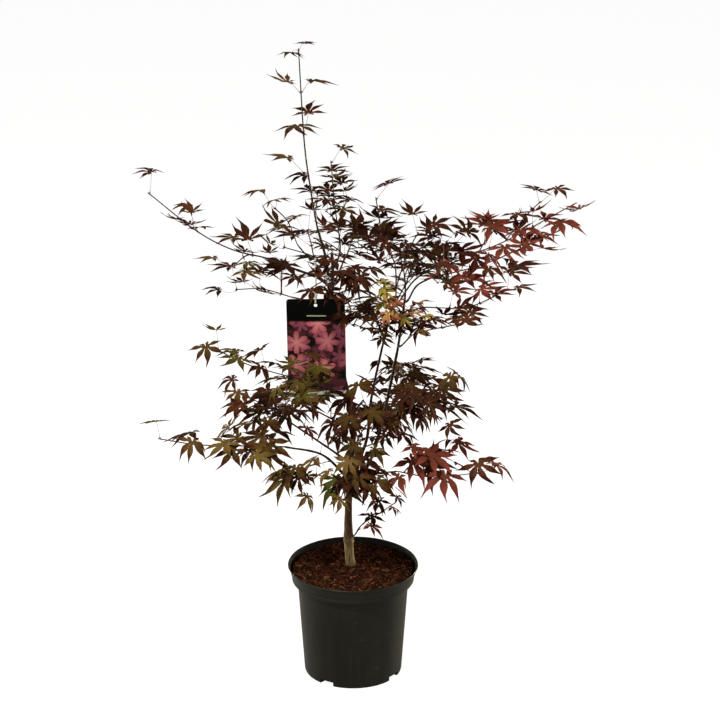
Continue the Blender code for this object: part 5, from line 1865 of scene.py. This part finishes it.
@dataclass(frozen=True)
class Dressing:
    """Stalks, buds and leaves made from their poses."""

    stalk_rings: int = 7
    stalk_sides: int = 4
    stalk_radii: tuple = (0.085, 0.05, 0.042, 0.04, 0.042, 0.05, 0.062)
    stalk_shades: tuple = (Shade("stalk_rose", (0.3, 0.13, 0.11)), Shade("stalk_wine", (0.16, 0.045, 0.04)),
                           Shade("stalk_tan", (0.34, 0.2, 0.14)))
    bud_shades: tuple = (Shade("bud_wine", (0.14, 0.03, 0.028), 0.45),
                         Shade("bud_brown", (0.1, 0.042, 0.025)))
    bud_length: float = 0.42
    bud_radii: tuple = (0.11, 0.145, 0.095, 0.02)

    def stalks(self, leaves: Sequence[Pose]) -> None:
        """Stalks along cubic curves B(t) from the twig to the hub, thicker at both ends.

        Args:
            leaves: The poses.
        """
        points = np.array([[
            pose.foot, pose.foot + pose.leave * ((pose.hub - pose.foot).length * 0.4),
            pose.hub - pose.along * (pose.length * 0.12) - UP * (pose.length * 0.02), pose.hub,
        ] for pose in leaves], dtype=float)
        t = np.linspace(0.0, 1.0, self.stalk_rings)[:, None]
        weights = np.concatenate(((1 - t) ** 3, 3 * t * (1 - t) ** 2, 3 * t**2 * (1 - t), t**3), axis=1)
        centres = np.einsum("rk,nkd->nrd", weights, points)
        size = np.array([pose.length for pose in leaves]) / (6.0 * CM)
        radii = np.array(self.stalk_radii)[None] * CM * (0.55 + 0.45 * size[:, None])
        paints = np.random.default_rng(3).choice(3, len(leaves), p=(0.45, 0.3, 0.25))
        bag = Bag()
        add_threads(bag, centres, radii, self.stalk_sides, paints)
        materials = [shade.material() for shade in self.stalk_shades]
        place_piece(bag.build("leaf_stalks", materials), MASS_NAMES)

    def buds(self, buds: Sequence[tuple[Vector, Vector, float]]) -> None:
        """Small pointed buds in the axils and at the tips of the twigs.

        Args:
            buds: Foot, direction and radius of the bark of each.
        """
        start = np.array([foot + way * radius * 0.5 for foot, way, radius in buds])
        way = np.array([tuple(way) for _, way, _ in buds])
        t = np.linspace(0.0, 1.0, 4)
        centres = start[:, None] + way[:, None] * (t[:, None] * (self.bud_length * CM))
        radii = np.broadcast_to(np.array(self.bud_radii) * CM, (len(buds), 4))
        bag = Bag()
        add_threads(bag, centres, radii, 6, np.arange(len(buds)) % 2)
        materials = [shade.material() for shade in self.bud_shades]
        place_piece(bag.build("leaf_buds", materials), MASS_NAMES)

    def blades(self, slot: str, leaves: Sequence[Pose], templates: Sequence[LeafTemplate]) -> None:
        """Blades of one slot as one piece: points p of a template carried to hub + length * (A p).

        Args:
            slot: The record's slot.
            leaves: The poses.
            templates: One template for each variant.
        """
        shades = sorted({pose.shade for pose in leaves} | {TIPS[pose.shade] for pose in leaves})
        widths = np.random.default_rng(8).uniform(0.88, 1.1, len(leaves))
        bag = Bag()
        for variant, template in enumerate(templates):
            chosen = [(pose, width) for pose, width in zip(leaves, widths) if pose.variant == variant]
            if not chosen:
                continue
            axes = np.array([[pose.along, pose.normal.cross(pose.along) * width, pose.normal]
                             for pose, width in chosen], dtype=float)
            lengths = np.array([pose.length for pose, _ in chosen])
            hubs = np.array([tuple(pose.hub) for pose, _ in chosen])
            shapes = np.einsum("vk,nkd->nvd", template.points, axes)
            points = hubs[:, None] + shapes * lengths[:, None, None]
            body = np.array([shades.index(pose.shade) for pose, _ in chosen])
            paint = {Part.BODY: body, Part.MIDDLE: body + len(shades),
                     Part.TIP: [shades.index(TIPS[pose.shade]) for pose, _ in chosen],
                     Part.RIB: 2 * len(shades)}
            blocks, parts = zip(*template.faces)
            bag.add_copies(points, blocks, [paint[part] for part in parts])
        finishes = [*(SHADES[name] for name in shades), *(middle_shade(name) for name in shades), RIB_SHADE]
        materials = [shade.material() for shade in finishes]
        names = [plan.name for plan in MASSES if plan.slot == slot]
        place_piece(bag.build(slot.replace("leaf_", "leaves_"), materials), names)


# ---- pot and growing medium


@dataclass(frozen=True)
class PotSizes:
    """Nursery pot, in centimetres; turns are from +X about +Z."""

    height: float = 24.7
    base: float = 10.5
    wall: float = 11.9
    step: float = 13.1
    rim: float = 14.0
    band: float = 3.4
    skin: float = 0.2
    notch_turns: tuple = (-123.0, -33.0, 57.0, 147.0)
    notch_half: float = 9.1
    notch_height: float = 1.0
    notch_depth: float = 3.0
    boxing: float = 0.24
    box_turn: float = 1.6
    sharp: float = 38.0


class Pot:
    """Turned shell of the nursery pot with its drainage notches, as one closed mesh."""

    def __init__(self, sizes: PotSizes) -> None:
        """Take the measures."""
        self.sizes = sizes

    def wall_radius(self, height: float) -> float:
        """Outer radius of the tapering wall at a height."""
        s = self.sizes
        return s.base + (s.wall - s.base) * (height - 0.3) / (s.height - s.band - 0.5 - 0.3)

    def outer(self) -> list:
        """Outer profile above the notches: wall, step, band and rolled lip.

        Returns:
            Points (radius, height).
        """
        s = self.sizes
        shoulder = s.height - s.band
        wall = [(self.wall_radius(z), z) for z in np.linspace(2.2, shoulder - 0.9, 15)]
        step = [(s.wall + out, shoulder + up) for out, up in ((-0.02, -0.62), (0.06, -0.47), (0.3, -0.36))]
        bead = [(s.step + out, shoulder + up) for out, up in (
            (-0.32, -0.12), (-0.06, -0.02), (0.0, 0.08), (-0.03, 0.2), (-0.02, 0.42), (0.05, 0.5),
            (0.04, 0.6))]
        low, high = shoulder + 0.8, s.height - 0.42
        band = [(s.step + 0.02 + (s.rim - 0.26 - s.step) * (z - low) / (high - low), z)
                for z in np.linspace(low, high, 7)]
        lip = [(s.rim - 0.17 + 0.17 * math.cos(turn), s.height - 0.19 + 0.19 * math.sin(turn))
               for turn in np.linspace(-0.5 * math.pi, math.pi, 11)]
        return wall + step + bead + band + lip

    def inner(self) -> list:
        """Inner profile from the lip down to just above the notches' boxing.

        Returns:
            Points (radius, height), in centimetres.
        """
        s = self.sizes
        shoulder = s.height - s.band
        return [(s.rim - 0.42, s.height - 0.5), (s.step - s.skin, shoulder + 0.3),
                (s.step - 0.36, shoulder + 0.1), (s.wall - s.skin + 0.05, shoulder - 0.28),
                (s.wall - s.skin, shoulder - 0.5),
                *((self.wall_radius(z) - s.skin, z) for z in (12.0, 1.6))]

    def column(self, notch: bool, boxed: bool) -> list:
        """Closed profile of one column, from the middle of the underside round to that of the floor.

        Args:
            notch: Whether a notch cuts it.
            boxed: Whether it is boxed in.

        Returns:
            Points (radius, height).
        """
        s = self.sizes
        back, roof = s.base - s.notch_depth, s.notch_height
        under = [(0.0, 0.12), (5.6, 0.12), (5.9, 0.0), (back, 0.0)]
        if notch:
            foot = [(back, roof * 0.5), (back, roof), (9.0, roof), (self.wall_radius(roof) - 0.05, roof)]
        else:
            foot = [(8.6, 0.0), (s.base - 0.3, 0.0), (s.base - 0.07, 0.08), (s.base, 0.32)]
        foot += [(self.wall_radius(roof) + 0.01 * notch, roof + 0.04)]
        edge, top = back - s.boxing, roof + s.boxing
        wall = self.wall_radius(top) - s.skin
        if boxed:
            floor = [(wall, top), (9.0, top), (edge, top)]
        else:
            floor = [(self.wall_radius(0.9) - s.skin, 0.9), (s.base - s.skin - 0.2, 0.5), (8.4, 0.5)]
        floor += [(edge, 0.5), (4.0, 0.5), (0.0, 0.5)]
        return under + foot + self.outer() + self.inner() + floor

    def columns(self) -> list:
        """Columns of the shell.

        Returns:
            Turn of each (degrees), whether a notch cuts it, and whether it is boxed in.
        """
        s = self.sizes
        edge, box = s.notch_half, s.notch_half + s.box_turn
        quarter = [(-box, False, False), (-box, False, True), (-edge, False, True)]
        quarter += [(part, True, True) for part in np.linspace(-edge, edge, 13)]
        quarter += [(edge, False, True), (box, False, True)]
        quarter += [(part, False, False) for part in np.linspace(box, 90.0 - box, 38)[:-1]]
        starts = sorted(turn % 360.0 for turn in s.notch_turns)
        return [(start + part, notch, boxed) for start in starts for part, notch, boxed in quarter]

    def build(self, material: Material) -> None:
        """Join the columns: (r cos a, r sin a, z), with r eased by slow waves of a hundredth.

        Args:
            material: The plastic.
        """
        s, columns = self.sizes, self.columns()
        angles = np.radians([turn for turn, _, _ in columns])
        profile = np.stack([np.array(self.column(notch, boxed)) for _, notch, boxed in columns], axis=1)
        radius, height = profile[..., 0], profile[..., 1]
        share = (height / s.height).clip(0.0, 1.0)
        wave = (1.0 - 0.004 * share * (1.0 - np.cos(2.0 * angles + 0.7))
                - 0.0016 * (1.0 + np.sin(9.0 * angles)) * share)
        radius = radius * np.where(radius > 10.0, wave, 1.0)
        points = np.stack((radius * np.cos(angles), radius * np.sin(angles), height), -1) * CM
        bag = Bag()
        bag.add(np.concatenate((points[1:-1].reshape(-1, 3), points[0, :1], points[-1, :1])),
                tube_faces(len(radius) - 2, len(columns)))
        item = bag.build("pot", (material,))
        item.data.set_sharp_from_angle(angle=math.radians(s.sharp))
        place_piece(item, ("nursery_pot",))


@dataclass(frozen=True)
class MediumSizes:
    """Growing medium, in centimetres: the height and reach of its surface, and what lies on it."""

    top: float = 23.65
    reach: float = 12.9
    rings: int = 84
    columns: int = 264
    walls: tuple = ((12.86, 22.6), (12.78, 21.6), (12.6, 21.3), (11.6, 20.6), (11.5, 18.0), (10.3, 1.5))
    fibres: int = 3400
    fibre_shades: tuple = (Shade("coir_rust", (0.135, 0.036, 0.0112), 0.85, 0.1),
                           Shade("coir_dark", (0.018, 0.005, 0.002), 0.9, 0.1),
                           Shade("coir_pale", (0.3, 0.13, 0.05), 0.8, 0.15),
                           Shade("coir_red", (0.05, 0.011, 0.0037), 0.85, 0.1))
    crumbs: int = 700
    crumb_shades: tuple = (Shade("crumb_brown", (0.03, 0.009, 0.004), 0.9, 0.1),
                           Shade("crumb_tan", (0.11, 0.042, 0.017), 0.85, 0.1),
                           Shade("crumb_black", (0.01, 0.004, 0.003), 0.9, 0.1))


class Medium:
    """Peat and coir: a lumpy surface, loose fibres and crumbs of bark."""

    def __init__(self, sizes: MediumSizes) -> None:
        """Take the measures."""
        self.sizes = sizes

    def level(self, x: Array, y: Array) -> Array:
        """Height of the surface: a level bed plus layered noise.

        Args:
            x: Places across, in centimetres.
            y: Places along.

        Returns:
            Heights, in centimetres.
        """
        s = self.sizes
        coarse = lattice_noise(x * 0.42 + 50.0, y * 0.42 + 50.0, 61, 199)
        fine = layered_noise(x * 1.25 + 50.0, y * 1.25 + 50.0, 71, 199, 4)
        return s.top + 0.2 * coarse + 0.3 * fine - 0.1

    def surface(self, material: Material) -> None:
        """Surface over a closed block that fills the pot down to above its notches.

        Args:
            material: The peat.
        """
        s = self.sizes
        radii = s.reach * np.linspace(0.0, 1.0, s.rings + 1)[1:] ** 0.85
        angle = np.linspace(0.0, math.tau, s.columns, endpoint=False)
        x, y = (np.append(radii, [r for r, _ in s.walls])[:, None] * way(angle) for way in (np.cos, np.sin))
        walls = [np.full(s.columns, height) for _, height in s.walls]
        z = np.concatenate((self.level(x[:s.rings], y[:s.rings]), walls))
        middle = self.level(np.zeros(1), np.zeros(1))[0]
        ends = np.array([(0.0, 0.0, middle), (0.0, 0.0, s.walls[-1][1])])
        quads, caps = tube_faces(len(z), s.columns)
        bag = Bag()
        bag.add(np.concatenate((np.stack((x, y, z), -1).reshape(-1, 3), ends)) * CM,
                (quads[:, ::-1], caps[:, (0, 2, 1)]))
        place_piece(bag.build("medium", (material,)), ("growing_medium",))

    def scatter(self, rng: np.random.Generator, count: int, margin: float) -> tuple[Array, Array]:
        """Random places spread evenly over the surface, a margin in from the wall."""
        radius = (self.sizes.reach - margin) * np.sqrt(rng.uniform(0.0, 1.0, count))
        angle = rng.uniform(0.0, math.tau, count)
        return radius * np.cos(angle), radius * np.sin(angle)

    def fibres(self) -> None:
        """Loose coir fibres: short bent threads that lie on the surface or stand a little off it."""
        s = self.sizes
        rng = np.random.default_rng(17)
        x, y = (values[:, None] for values in self.scatter(rng, s.fibres, 0.35))
        heading = rng.uniform(0.0, math.tau, s.fibres)[:, None]
        length = rng.gamma(2.4, 0.55, s.fibres).clip(0.4, 3.6)[:, None]
        bend = rng.normal(0.0, 2.1, s.fibres)[:, None]
        t = np.linspace(-0.5, 0.5, 8)
        way = heading + bend * t
        x, y = x + length * t * np.cos(way), y + length * t * np.sin(way)
        shrink = np.minimum(1.0, (s.reach - 0.12) / np.maximum(np.hypot(x, y), 1e-6))
        x, y = x * shrink, y * shrink
        arch = rng.gamma(1.3, 0.12, s.fibres)[:, None]
        arch = arch * (1.0 - (2.0 * t + rng.uniform(-0.8, 0.8, (s.fibres, 1))) ** 2)
        lift = rng.uniform(0.0, 0.12, s.fibres)[:, None] + arch
        level = self.level(x, y)
        z = np.maximum(level * 0.5 + level[:, 3:4] * 0.5 + lift, level - 0.05)
        profile = np.array((0.6, 1.0, 1.0, 1.0, 1.0, 0.9, 0.8, 0.4))
        thick = rng.gamma(3.0, 0.017, s.fibres).clip(0.02, 0.11)[:, None] * profile * CM
        paints = rng.choice(4, s.fibres, p=(0.32, 0.22, 0.13, 0.33))
        bag = Bag()
        add_threads(bag, np.stack((x, y, z), -1) * CM, thick, 3, paints)
        materials = [shade.material() for shade in s.fibre_shades]
        place_piece(bag.build("coir_fibres", materials), ("growing_medium",))

    def crumbs(self) -> None:
        """Flat angular crumbs of bark and pith, as blocks of eight corners turned at random."""
        s = self.sizes
        rng = np.random.default_rng(23)
        x, y = self.scatter(rng, s.crumbs, 0.4)
        corners = np.array(box_block((-1.0, -1.0, -1.0), (1.0, 1.0, 1.0))[0])
        size = rng.gamma(3.0, 0.05, (s.crumbs, 1)).clip(0.05, 0.42) * np.array((1.0, 0.65, 0.3))
        block = corners * size[:, None] * rng.uniform(0.7, 1.15, (s.crumbs, 8, 3))
        turn = rng.uniform(0.0, math.tau, s.crumbs)[:, None]
        tip = rng.normal(0.0, 0.35, s.crumbs)[:, None]
        leaned = block[..., 2] * np.cos(tip) + block[..., 0] * np.sin(tip)
        flat = block[..., 0] * np.cos(tip) - block[..., 2] * np.sin(tip)
        points = np.stack((flat * np.cos(turn) - block[..., 1] * np.sin(turn),
                           flat * np.sin(turn) + block[..., 1] * np.cos(turn), leaned), -1)
        points += np.stack((x, y, self.level(x, y) + 0.03), -1)[:, None]
        bag = Bag()
        bag.add_copies(points * CM, (np.array(BLOCK_FACES),), (rng.choice(3, s.crumbs, p=(0.5, 0.2, 0.3)),))
        materials = [shade.material() for shade in s.crumb_shades]
        place_piece(bag.build("bark_crumbs", materials, smooth=False), ("growing_medium",))


# ---- hanging card and strap


@dataclass(frozen=True)
class CardSizes:
    """Hanging card and its strap, in centimetres."""

    width: float = 12.1
    height: float = 21.8
    thickness: float = 0.07
    centre: tuple = (-7.5, -1.5, 74.6)
    tilt: float = 0.9
    corner: float = 0.7
    hole: float = 0.35
    hole_drop: float = 1.4
    bow: float = 0.035
    sharp: float = 40.0
    strap_top: float = 94.3
    strap_seat: float = 0.22
    strap_width: float = 0.36
    strap_thickness: float = 0.09
    strap_spread: float = 0.5
    strap_section: tuple = ((0.85, 1.0), (-0.85, 1.0), (-1.0, 0.0), (-0.85, -1.0), (0.85, -1.0), (1.0, 0.0))
    lock_height: float = 86.8


class HangingCard:
    """Printed card with rounded corners and a punched hole, and the strap that holds it."""

    def __init__(self, sizes: CardSizes) -> None:
        """Take the measures, and find the hole from them."""
        self.sizes = sizes
        self.half_width, self.half_height = sizes.width / 2.0, sizes.height / 2.0
        self.hole_up = self.half_height - sizes.hole_drop

    def to_world(self, across: Array, up: Array, forward: Array) -> Array:
        """Carry points from the card's own plane, in centimetres from its centre.

        Args:
            across: Places across the card.
            up: Places up it.
            forward: Places behind it.

        Returns:
            Points in metres.
        """
        s = self.sizes
        tilt = math.radians(s.tilt)
        x = across * math.cos(tilt) - up * math.sin(tilt)
        z = across * math.sin(tilt) + up * math.cos(tilt)
        return np.stack((s.centre[0] + x, s.centre[1] + forward, s.centre[2] + z), -1) * CM

    def faces(self, across: Array, up: Array) -> Array:
        """Both faces of the slightly bowed card at the same places.

        Args:
            across: Places across the card.
            up: Places up it.

        Returns:
            Points of the front, then of the back.
        """
        s = self.sizes
        bow = (-s.bow * self.half_width * (1.0 - (across / self.half_width) ** 2)
               - 0.05 * np.cos(2.2 * up / self.half_height))
        return np.concatenate([self.to_world(across, up, bow + side).reshape(-1, 3)
                               for side in (-s.thickness / 2.0, s.thickness / 2.0)])

    def lattice(self) -> tuple[Array, Array]:
        """Lines of the grid, closer at the corners and about the hole.

        Returns:
            Places across and places up.
        """
        hw, hh, c, up = self.half_width, self.half_height, self.sizes.corner, self.hole_up
        arc = np.linspace(0.0, c, 5)[1:]
        xs = np.concatenate((np.linspace(-hw + c, -0.6, 9), (-0.3, 0.0, 0.3), np.linspace(0.6, hw - c, 9)))
        zs = np.append(np.linspace(-hh + c, up - 0.6, 30), (up - 0.3, up, up + 0.3, up + 0.6))
        above = (hh - c + 0.001,) if zs[-1] < hh - c else ()
        return (np.concatenate((xs[0] - arc[::-1], xs, xs[-1] + arc)),
                np.concatenate((zs[0] - arc[::-1], zs, above, np.maximum(zs[-1], hh - c) + arc)))

    def build(self, material: Material) -> None:
        """Card as a front and a back grid joined round the edge and through the hole.

        Corner blocks of the grid are carried from a square to a quarter disc by
        (p sqrt(1 - q^2 / 2), q sqrt(1 - p^2 / 2)); the block about the hole gives way to a ring of quads.

        Args:
            material: The printed card's.
        """
        s, hw, hh, c = self.sizes, self.half_width, self.half_height, self.sizes.corner
        xs, zs = self.lattice()
        x, z = np.meshgrid(xs, zs)
        p = ((np.abs(x) - (hw - c)) / c).clip(0.0, 1.0)
        q = ((np.abs(z) - (hh - c)) / c).clip(0.0, 1.0)
        x = np.where(p > 0.0, np.sign(x) * (hw - c + c * p * np.sqrt(1.0 - q * q / 2.0)), x)
        z = np.where(q > 0.0, np.sign(z) * (hh - c + c * q * np.sqrt(1.0 - p * p / 2.0)), z).clip(-hh, hh)
        rows, columns = x.shape
        count = rows * columns
        numbers = np.arange(count).reshape(rows, columns)
        quads = grid_faces(rows, columns, closed=False)
        row, column = np.divmod(quads[:, 0], columns)
        mid, level = int(np.abs(xs).argmin()), int(np.abs(zs - self.hole_up).argmin())
        quads = quads[(np.abs(column - mid + 0.5) > 2.0) | (np.abs(row - level + 0.5) > 2.0)]
        run = range(-2, 2)
        square = [(-2, k) for k in run] + [(k, 2) for k in run]
        square += [(-row, -column) for row, column in square]
        ring = np.array([numbers[level + a, mid + b] for a, b in square])
        turns = np.arctan2(z.ravel()[ring] - self.hole_up, x.ravel()[ring])
        rim = self.faces(s.hole * np.cos(turns), self.hole_up + s.hole * np.sin(turns))
        near, far = (2 * count + index * len(ring) + np.arange(len(ring)) for index in (0, 1))
        border = np.concatenate((numbers[0], numbers[1:, -1], numbers[-1, -2::-1], numbers[-2:0:-1, 0]))

        def band(first: Array, second: Array) -> Array:
            """Quads between two closed rows of points."""
            return np.stack((first, np.roll(first, -1), np.roll(second, -1), second), -1)

        bag = Bag()
        bag.add(np.concatenate((self.faces(x, z), rim)), (np.concatenate((
            quads, quads[:, ::-1] + count, band(ring, near), band(ring + count, far)[:, (0, 3, 2, 1)],
            band(near, far), band(border, border + count)[:, (1, 0, 3, 2)])),))
        item = bag.build("hanging_card", (material,))
        item.data.set_sharp_from_angle(angle=math.radians(s.sharp))
        place_piece(item, ("label_card",))

    def strap(self, material: Material) -> None:
        """Strap: a closed flat loop through the hole and over the bough, wider at its lock near the top.

        Args:
            material: The strap's plastic.
        """
        s = self.sizes
        hole = self.to_world(np.zeros(1), np.array([self.hole_up]), np.zeros(1))[0] / CM
        low, high = hole[2] + s.strap_seat + s.strap_spread, s.strap_top - s.strap_spread
        turns = np.linspace(0.0, math.pi, 13)
        up = np.linspace(low, high, 26)[1:-1]
        path = np.concatenate([np.stack(pair, -1) for pair in (
            (-np.cos(turns) * s.strap_spread, low - np.sin(turns) * s.strap_spread),
            (np.full(len(up), s.strap_spread), up),
            (np.cos(turns) * s.strap_spread, high + np.sin(turns) * s.strap_spread),
            (np.full(len(up), -s.strap_spread), up[::-1]))])
        share = ((path[:, 1] - low) / (high - low)).clip(0.0, 1.0)
        squeeze = 1.0 - 0.45 * np.sin(math.pi * share) ** 2
        sway = 0.12 * np.sin(3.0 * share)
        line = np.stack((hole[0] + sway, hole[1] + path[:, 0] * squeeze, path[:, 1]), -1)
        along = unit((np.roll(line, -1, axis=0) - np.roll(line, 1, axis=0))[:, 1:])
        thick = np.insert(along[:, ::-1] * (1.0, -1.0), 0, 0.0, axis=1) * (s.strap_thickness / 2.0)
        lock = np.exp(-(((line[:, 2] - s.lock_height) / 1.0) ** 4)) * (path[:, 0] < 0.0)
        wide = ((s.strap_width / 2.0) * (1.0 + 1.1 * lock))[:, None] * np.array((1.0, 0.0, 0.0))
        rings = np.stack([line + wide * aside + thick * out for aside, out in s.strap_section], 1)
        count, sides, _ = rings.shape
        bag = Bag()
        bag.add(rings * CM, (grid_faces(count + 1, sides) % (count * sides),))
        place_piece(bag.build("card_strap", (material,)), ("label_strap",))


# ---- studio


@dataclass(frozen=True)
class Lamp:
    """A soft area light: where it hangs, where it points, its size, power and colour."""

    name: str
    place: Point
    aim: Point
    size: float
    power: float
    colour: Colour = (1.0, 1.0, 1.0)

    def build(self) -> None:
        """Link the light."""
        data = bpy.data.lights.new(self.name, "AREA")
        data.shape, data.size, data.energy, data.color = "DISK", self.size, self.power, self.colour
        item = bpy.data.objects.new(self.name, data)
        item.location = self.place
        item.rotation_euler = (Vector(self.aim) - Vector(self.place)).to_track_quat("-Z", "Y").to_euler()
        bpy.context.scene.collection.objects.link(item)


@dataclass(frozen=True)
class Studio:
    """Pale floor, soft lights and a long lens looking a little down."""

    lens: float = 135.4
    place: Point = (0.015, -5.263, 2.734)
    pitch: float = 69.0
    floor: float = 60.0
    sky: float = 0.1
    glow: float = 0.93
    gloss: float = 0.09
    lamps: tuple = (
        Lamp("key", (-1.6, -2.4, 4.2), (0.0, 0.0, 0.7), 0.8, 178.0, (1.0, 0.955, 0.87)),
        Lamp("left", (-3.2, -0.9, 1.4), (0.0, 0.0, 0.7), 1.4, 30.0, (1.0, 0.97, 0.91)),
        Lamp("right", (3.2, -0.9, 1.4), (0.0, 0.0, 0.7), 1.4, 34.0, (1.0, 0.965, 0.9)),
        Lamp("low_left", (-1.95, 1.6, 0.27), (0.0, 0.0, 0.15), 0.5, 48.0, (1.0, 0.87, 0.67)),
        Lamp("low_right", (1.95, 1.6, 0.27), (0.0, 0.0, 0.15), 0.5, 72.0, (1.0, 0.86, 0.65)),
    )

    def paper(self) -> Material:
        """Pale paper that glows to the camera and a little in reflections, to keep its shadows faint.

        Returns:
            The material.
        """
        nodes = Finish("floor_paper", {"Base Color": (0.25, 0.25, 0.25, 1.0), "Roughness": 0.9,
                                       "Specular IOR Level": 0.1, "Emission Color": (1.0, 1.0, 1.0, 1.0)})
        path = nodes.add("LightPath").outputs
        glossy = nodes.math("MULTIPLY", path["Is Glossy Ray"], self.gloss)
        glow = nodes.math("MULTIPLY_ADD", path["Is Camera Ray"], self.glow, glossy)
        nodes.feed(nodes.shader, {"Emission Strength": glow})
        return nodes.material

    def build(self) -> None:
        """Set up the floor, the world, the lights and the camera."""
        half = self.floor / 2.0
        bag = Bag()
        bag.add(np.array(((-half, -half, 0.0), (half, -half, 0.0), (half, half, 0.0), (-half, half, 0.0))),
                (np.array([[0, 1, 2, 3]]),))
        bag.build("floor", (self.paper(),))
        scene = bpy.context.scene
        world = bpy.data.worlds.new("studio")
        world.use_nodes = True
        world.node_tree.nodes["Background"].inputs[0].default_value = (1.0, 1.0, 1.0, 1.0)
        world.node_tree.nodes["Background"].inputs[1].default_value = self.sky
        scene.world = world
        for lamp in self.lamps:
            lamp.build()
        camera = bpy.data.cameras.new("camera")
        camera.lens, camera.sensor_width = self.lens, 36.0
        item = bpy.data.objects.new("camera", camera)
        item.location = self.place
        item.rotation_euler = (math.radians(self.pitch), 0.0, 0.0)
        scene.collection.objects.link(item)
        scene.camera = item
        scene.view_settings.view_transform = "Standard"
        scene.view_settings.look = "None"


def main() -> None:
    """Build the plant from its trunk out, then its pot, its card and the studio."""
    logging.basicConfig(level=logging.INFO, format="%(name)s: %(message)s")
    groups = NoiseGroups()
    skeleton = Skeleton().grow()
    TrunkRelief().build(skeleton.limbs["trunk"], BarkFinish().build(groups))
    limb_bark, shoot_bark, spur_bark = (finish.build(groups) for finish in TWIG_BARKS)
    barks = LimbBark()
    stems = ("right_front_stem", "right_rear_stem")
    barks.boughs(skeleton.limbs, stems, "stem_bark", limb_bark)
    others = [plan.name for plan in BOUGHS if plan.name not in stems]
    barks.boughs(skeleton.limbs, others, "bough_bark", limb_bark)
    card = CardSizes()
    middle = Vector(card.centre) * CM
    reach = Vector((card.width, 0.9, card.height)) * (0.5 * CM)
    blocks = [box_block(tuple(middle - reach), tuple(middle + reach)),
              box_block(*STRAP_BOX), box_block(*POT_BOX)]
    foliage = Foliage(skeleton, FoliageRules(), blocks)
    foliage.grow()
    barks.twigs(foliage.twigs, (shoot_bark, spur_bark))
    dressing = Dressing()
    poses = [pose for leaves in foliage.leaves.values() for pose in leaves]
    dressing.stalks(poses)
    dressing.buds(foliage.buds)
    templates = [make_template(LeafShape(), droop, seed)
                 for seed, droop in enumerate(FoliageRules.droops, LEAF_SEED)]
    for slot, leaves in foliage.leaves.items():
        dressing.blades(slot, leaves, templates)
    log.info("leaves in all: %d", len(poses))
    Pot(PotSizes()).build(PlasticFinish().build(groups))
    medium = Medium(MediumSizes())
    medium.surface(PeatFinish().build(groups))
    medium.fibres()
    medium.crumbs()
    hanging = HangingCard(card)
    hanging.build(CardFinish(middle, card.width * 0.5 * CM, card.height * 0.5 * CM).build(groups))
    hanging.strap(StrapFinish().build(groups))
    Studio().build()


if __name__ == "__main__":
    main()
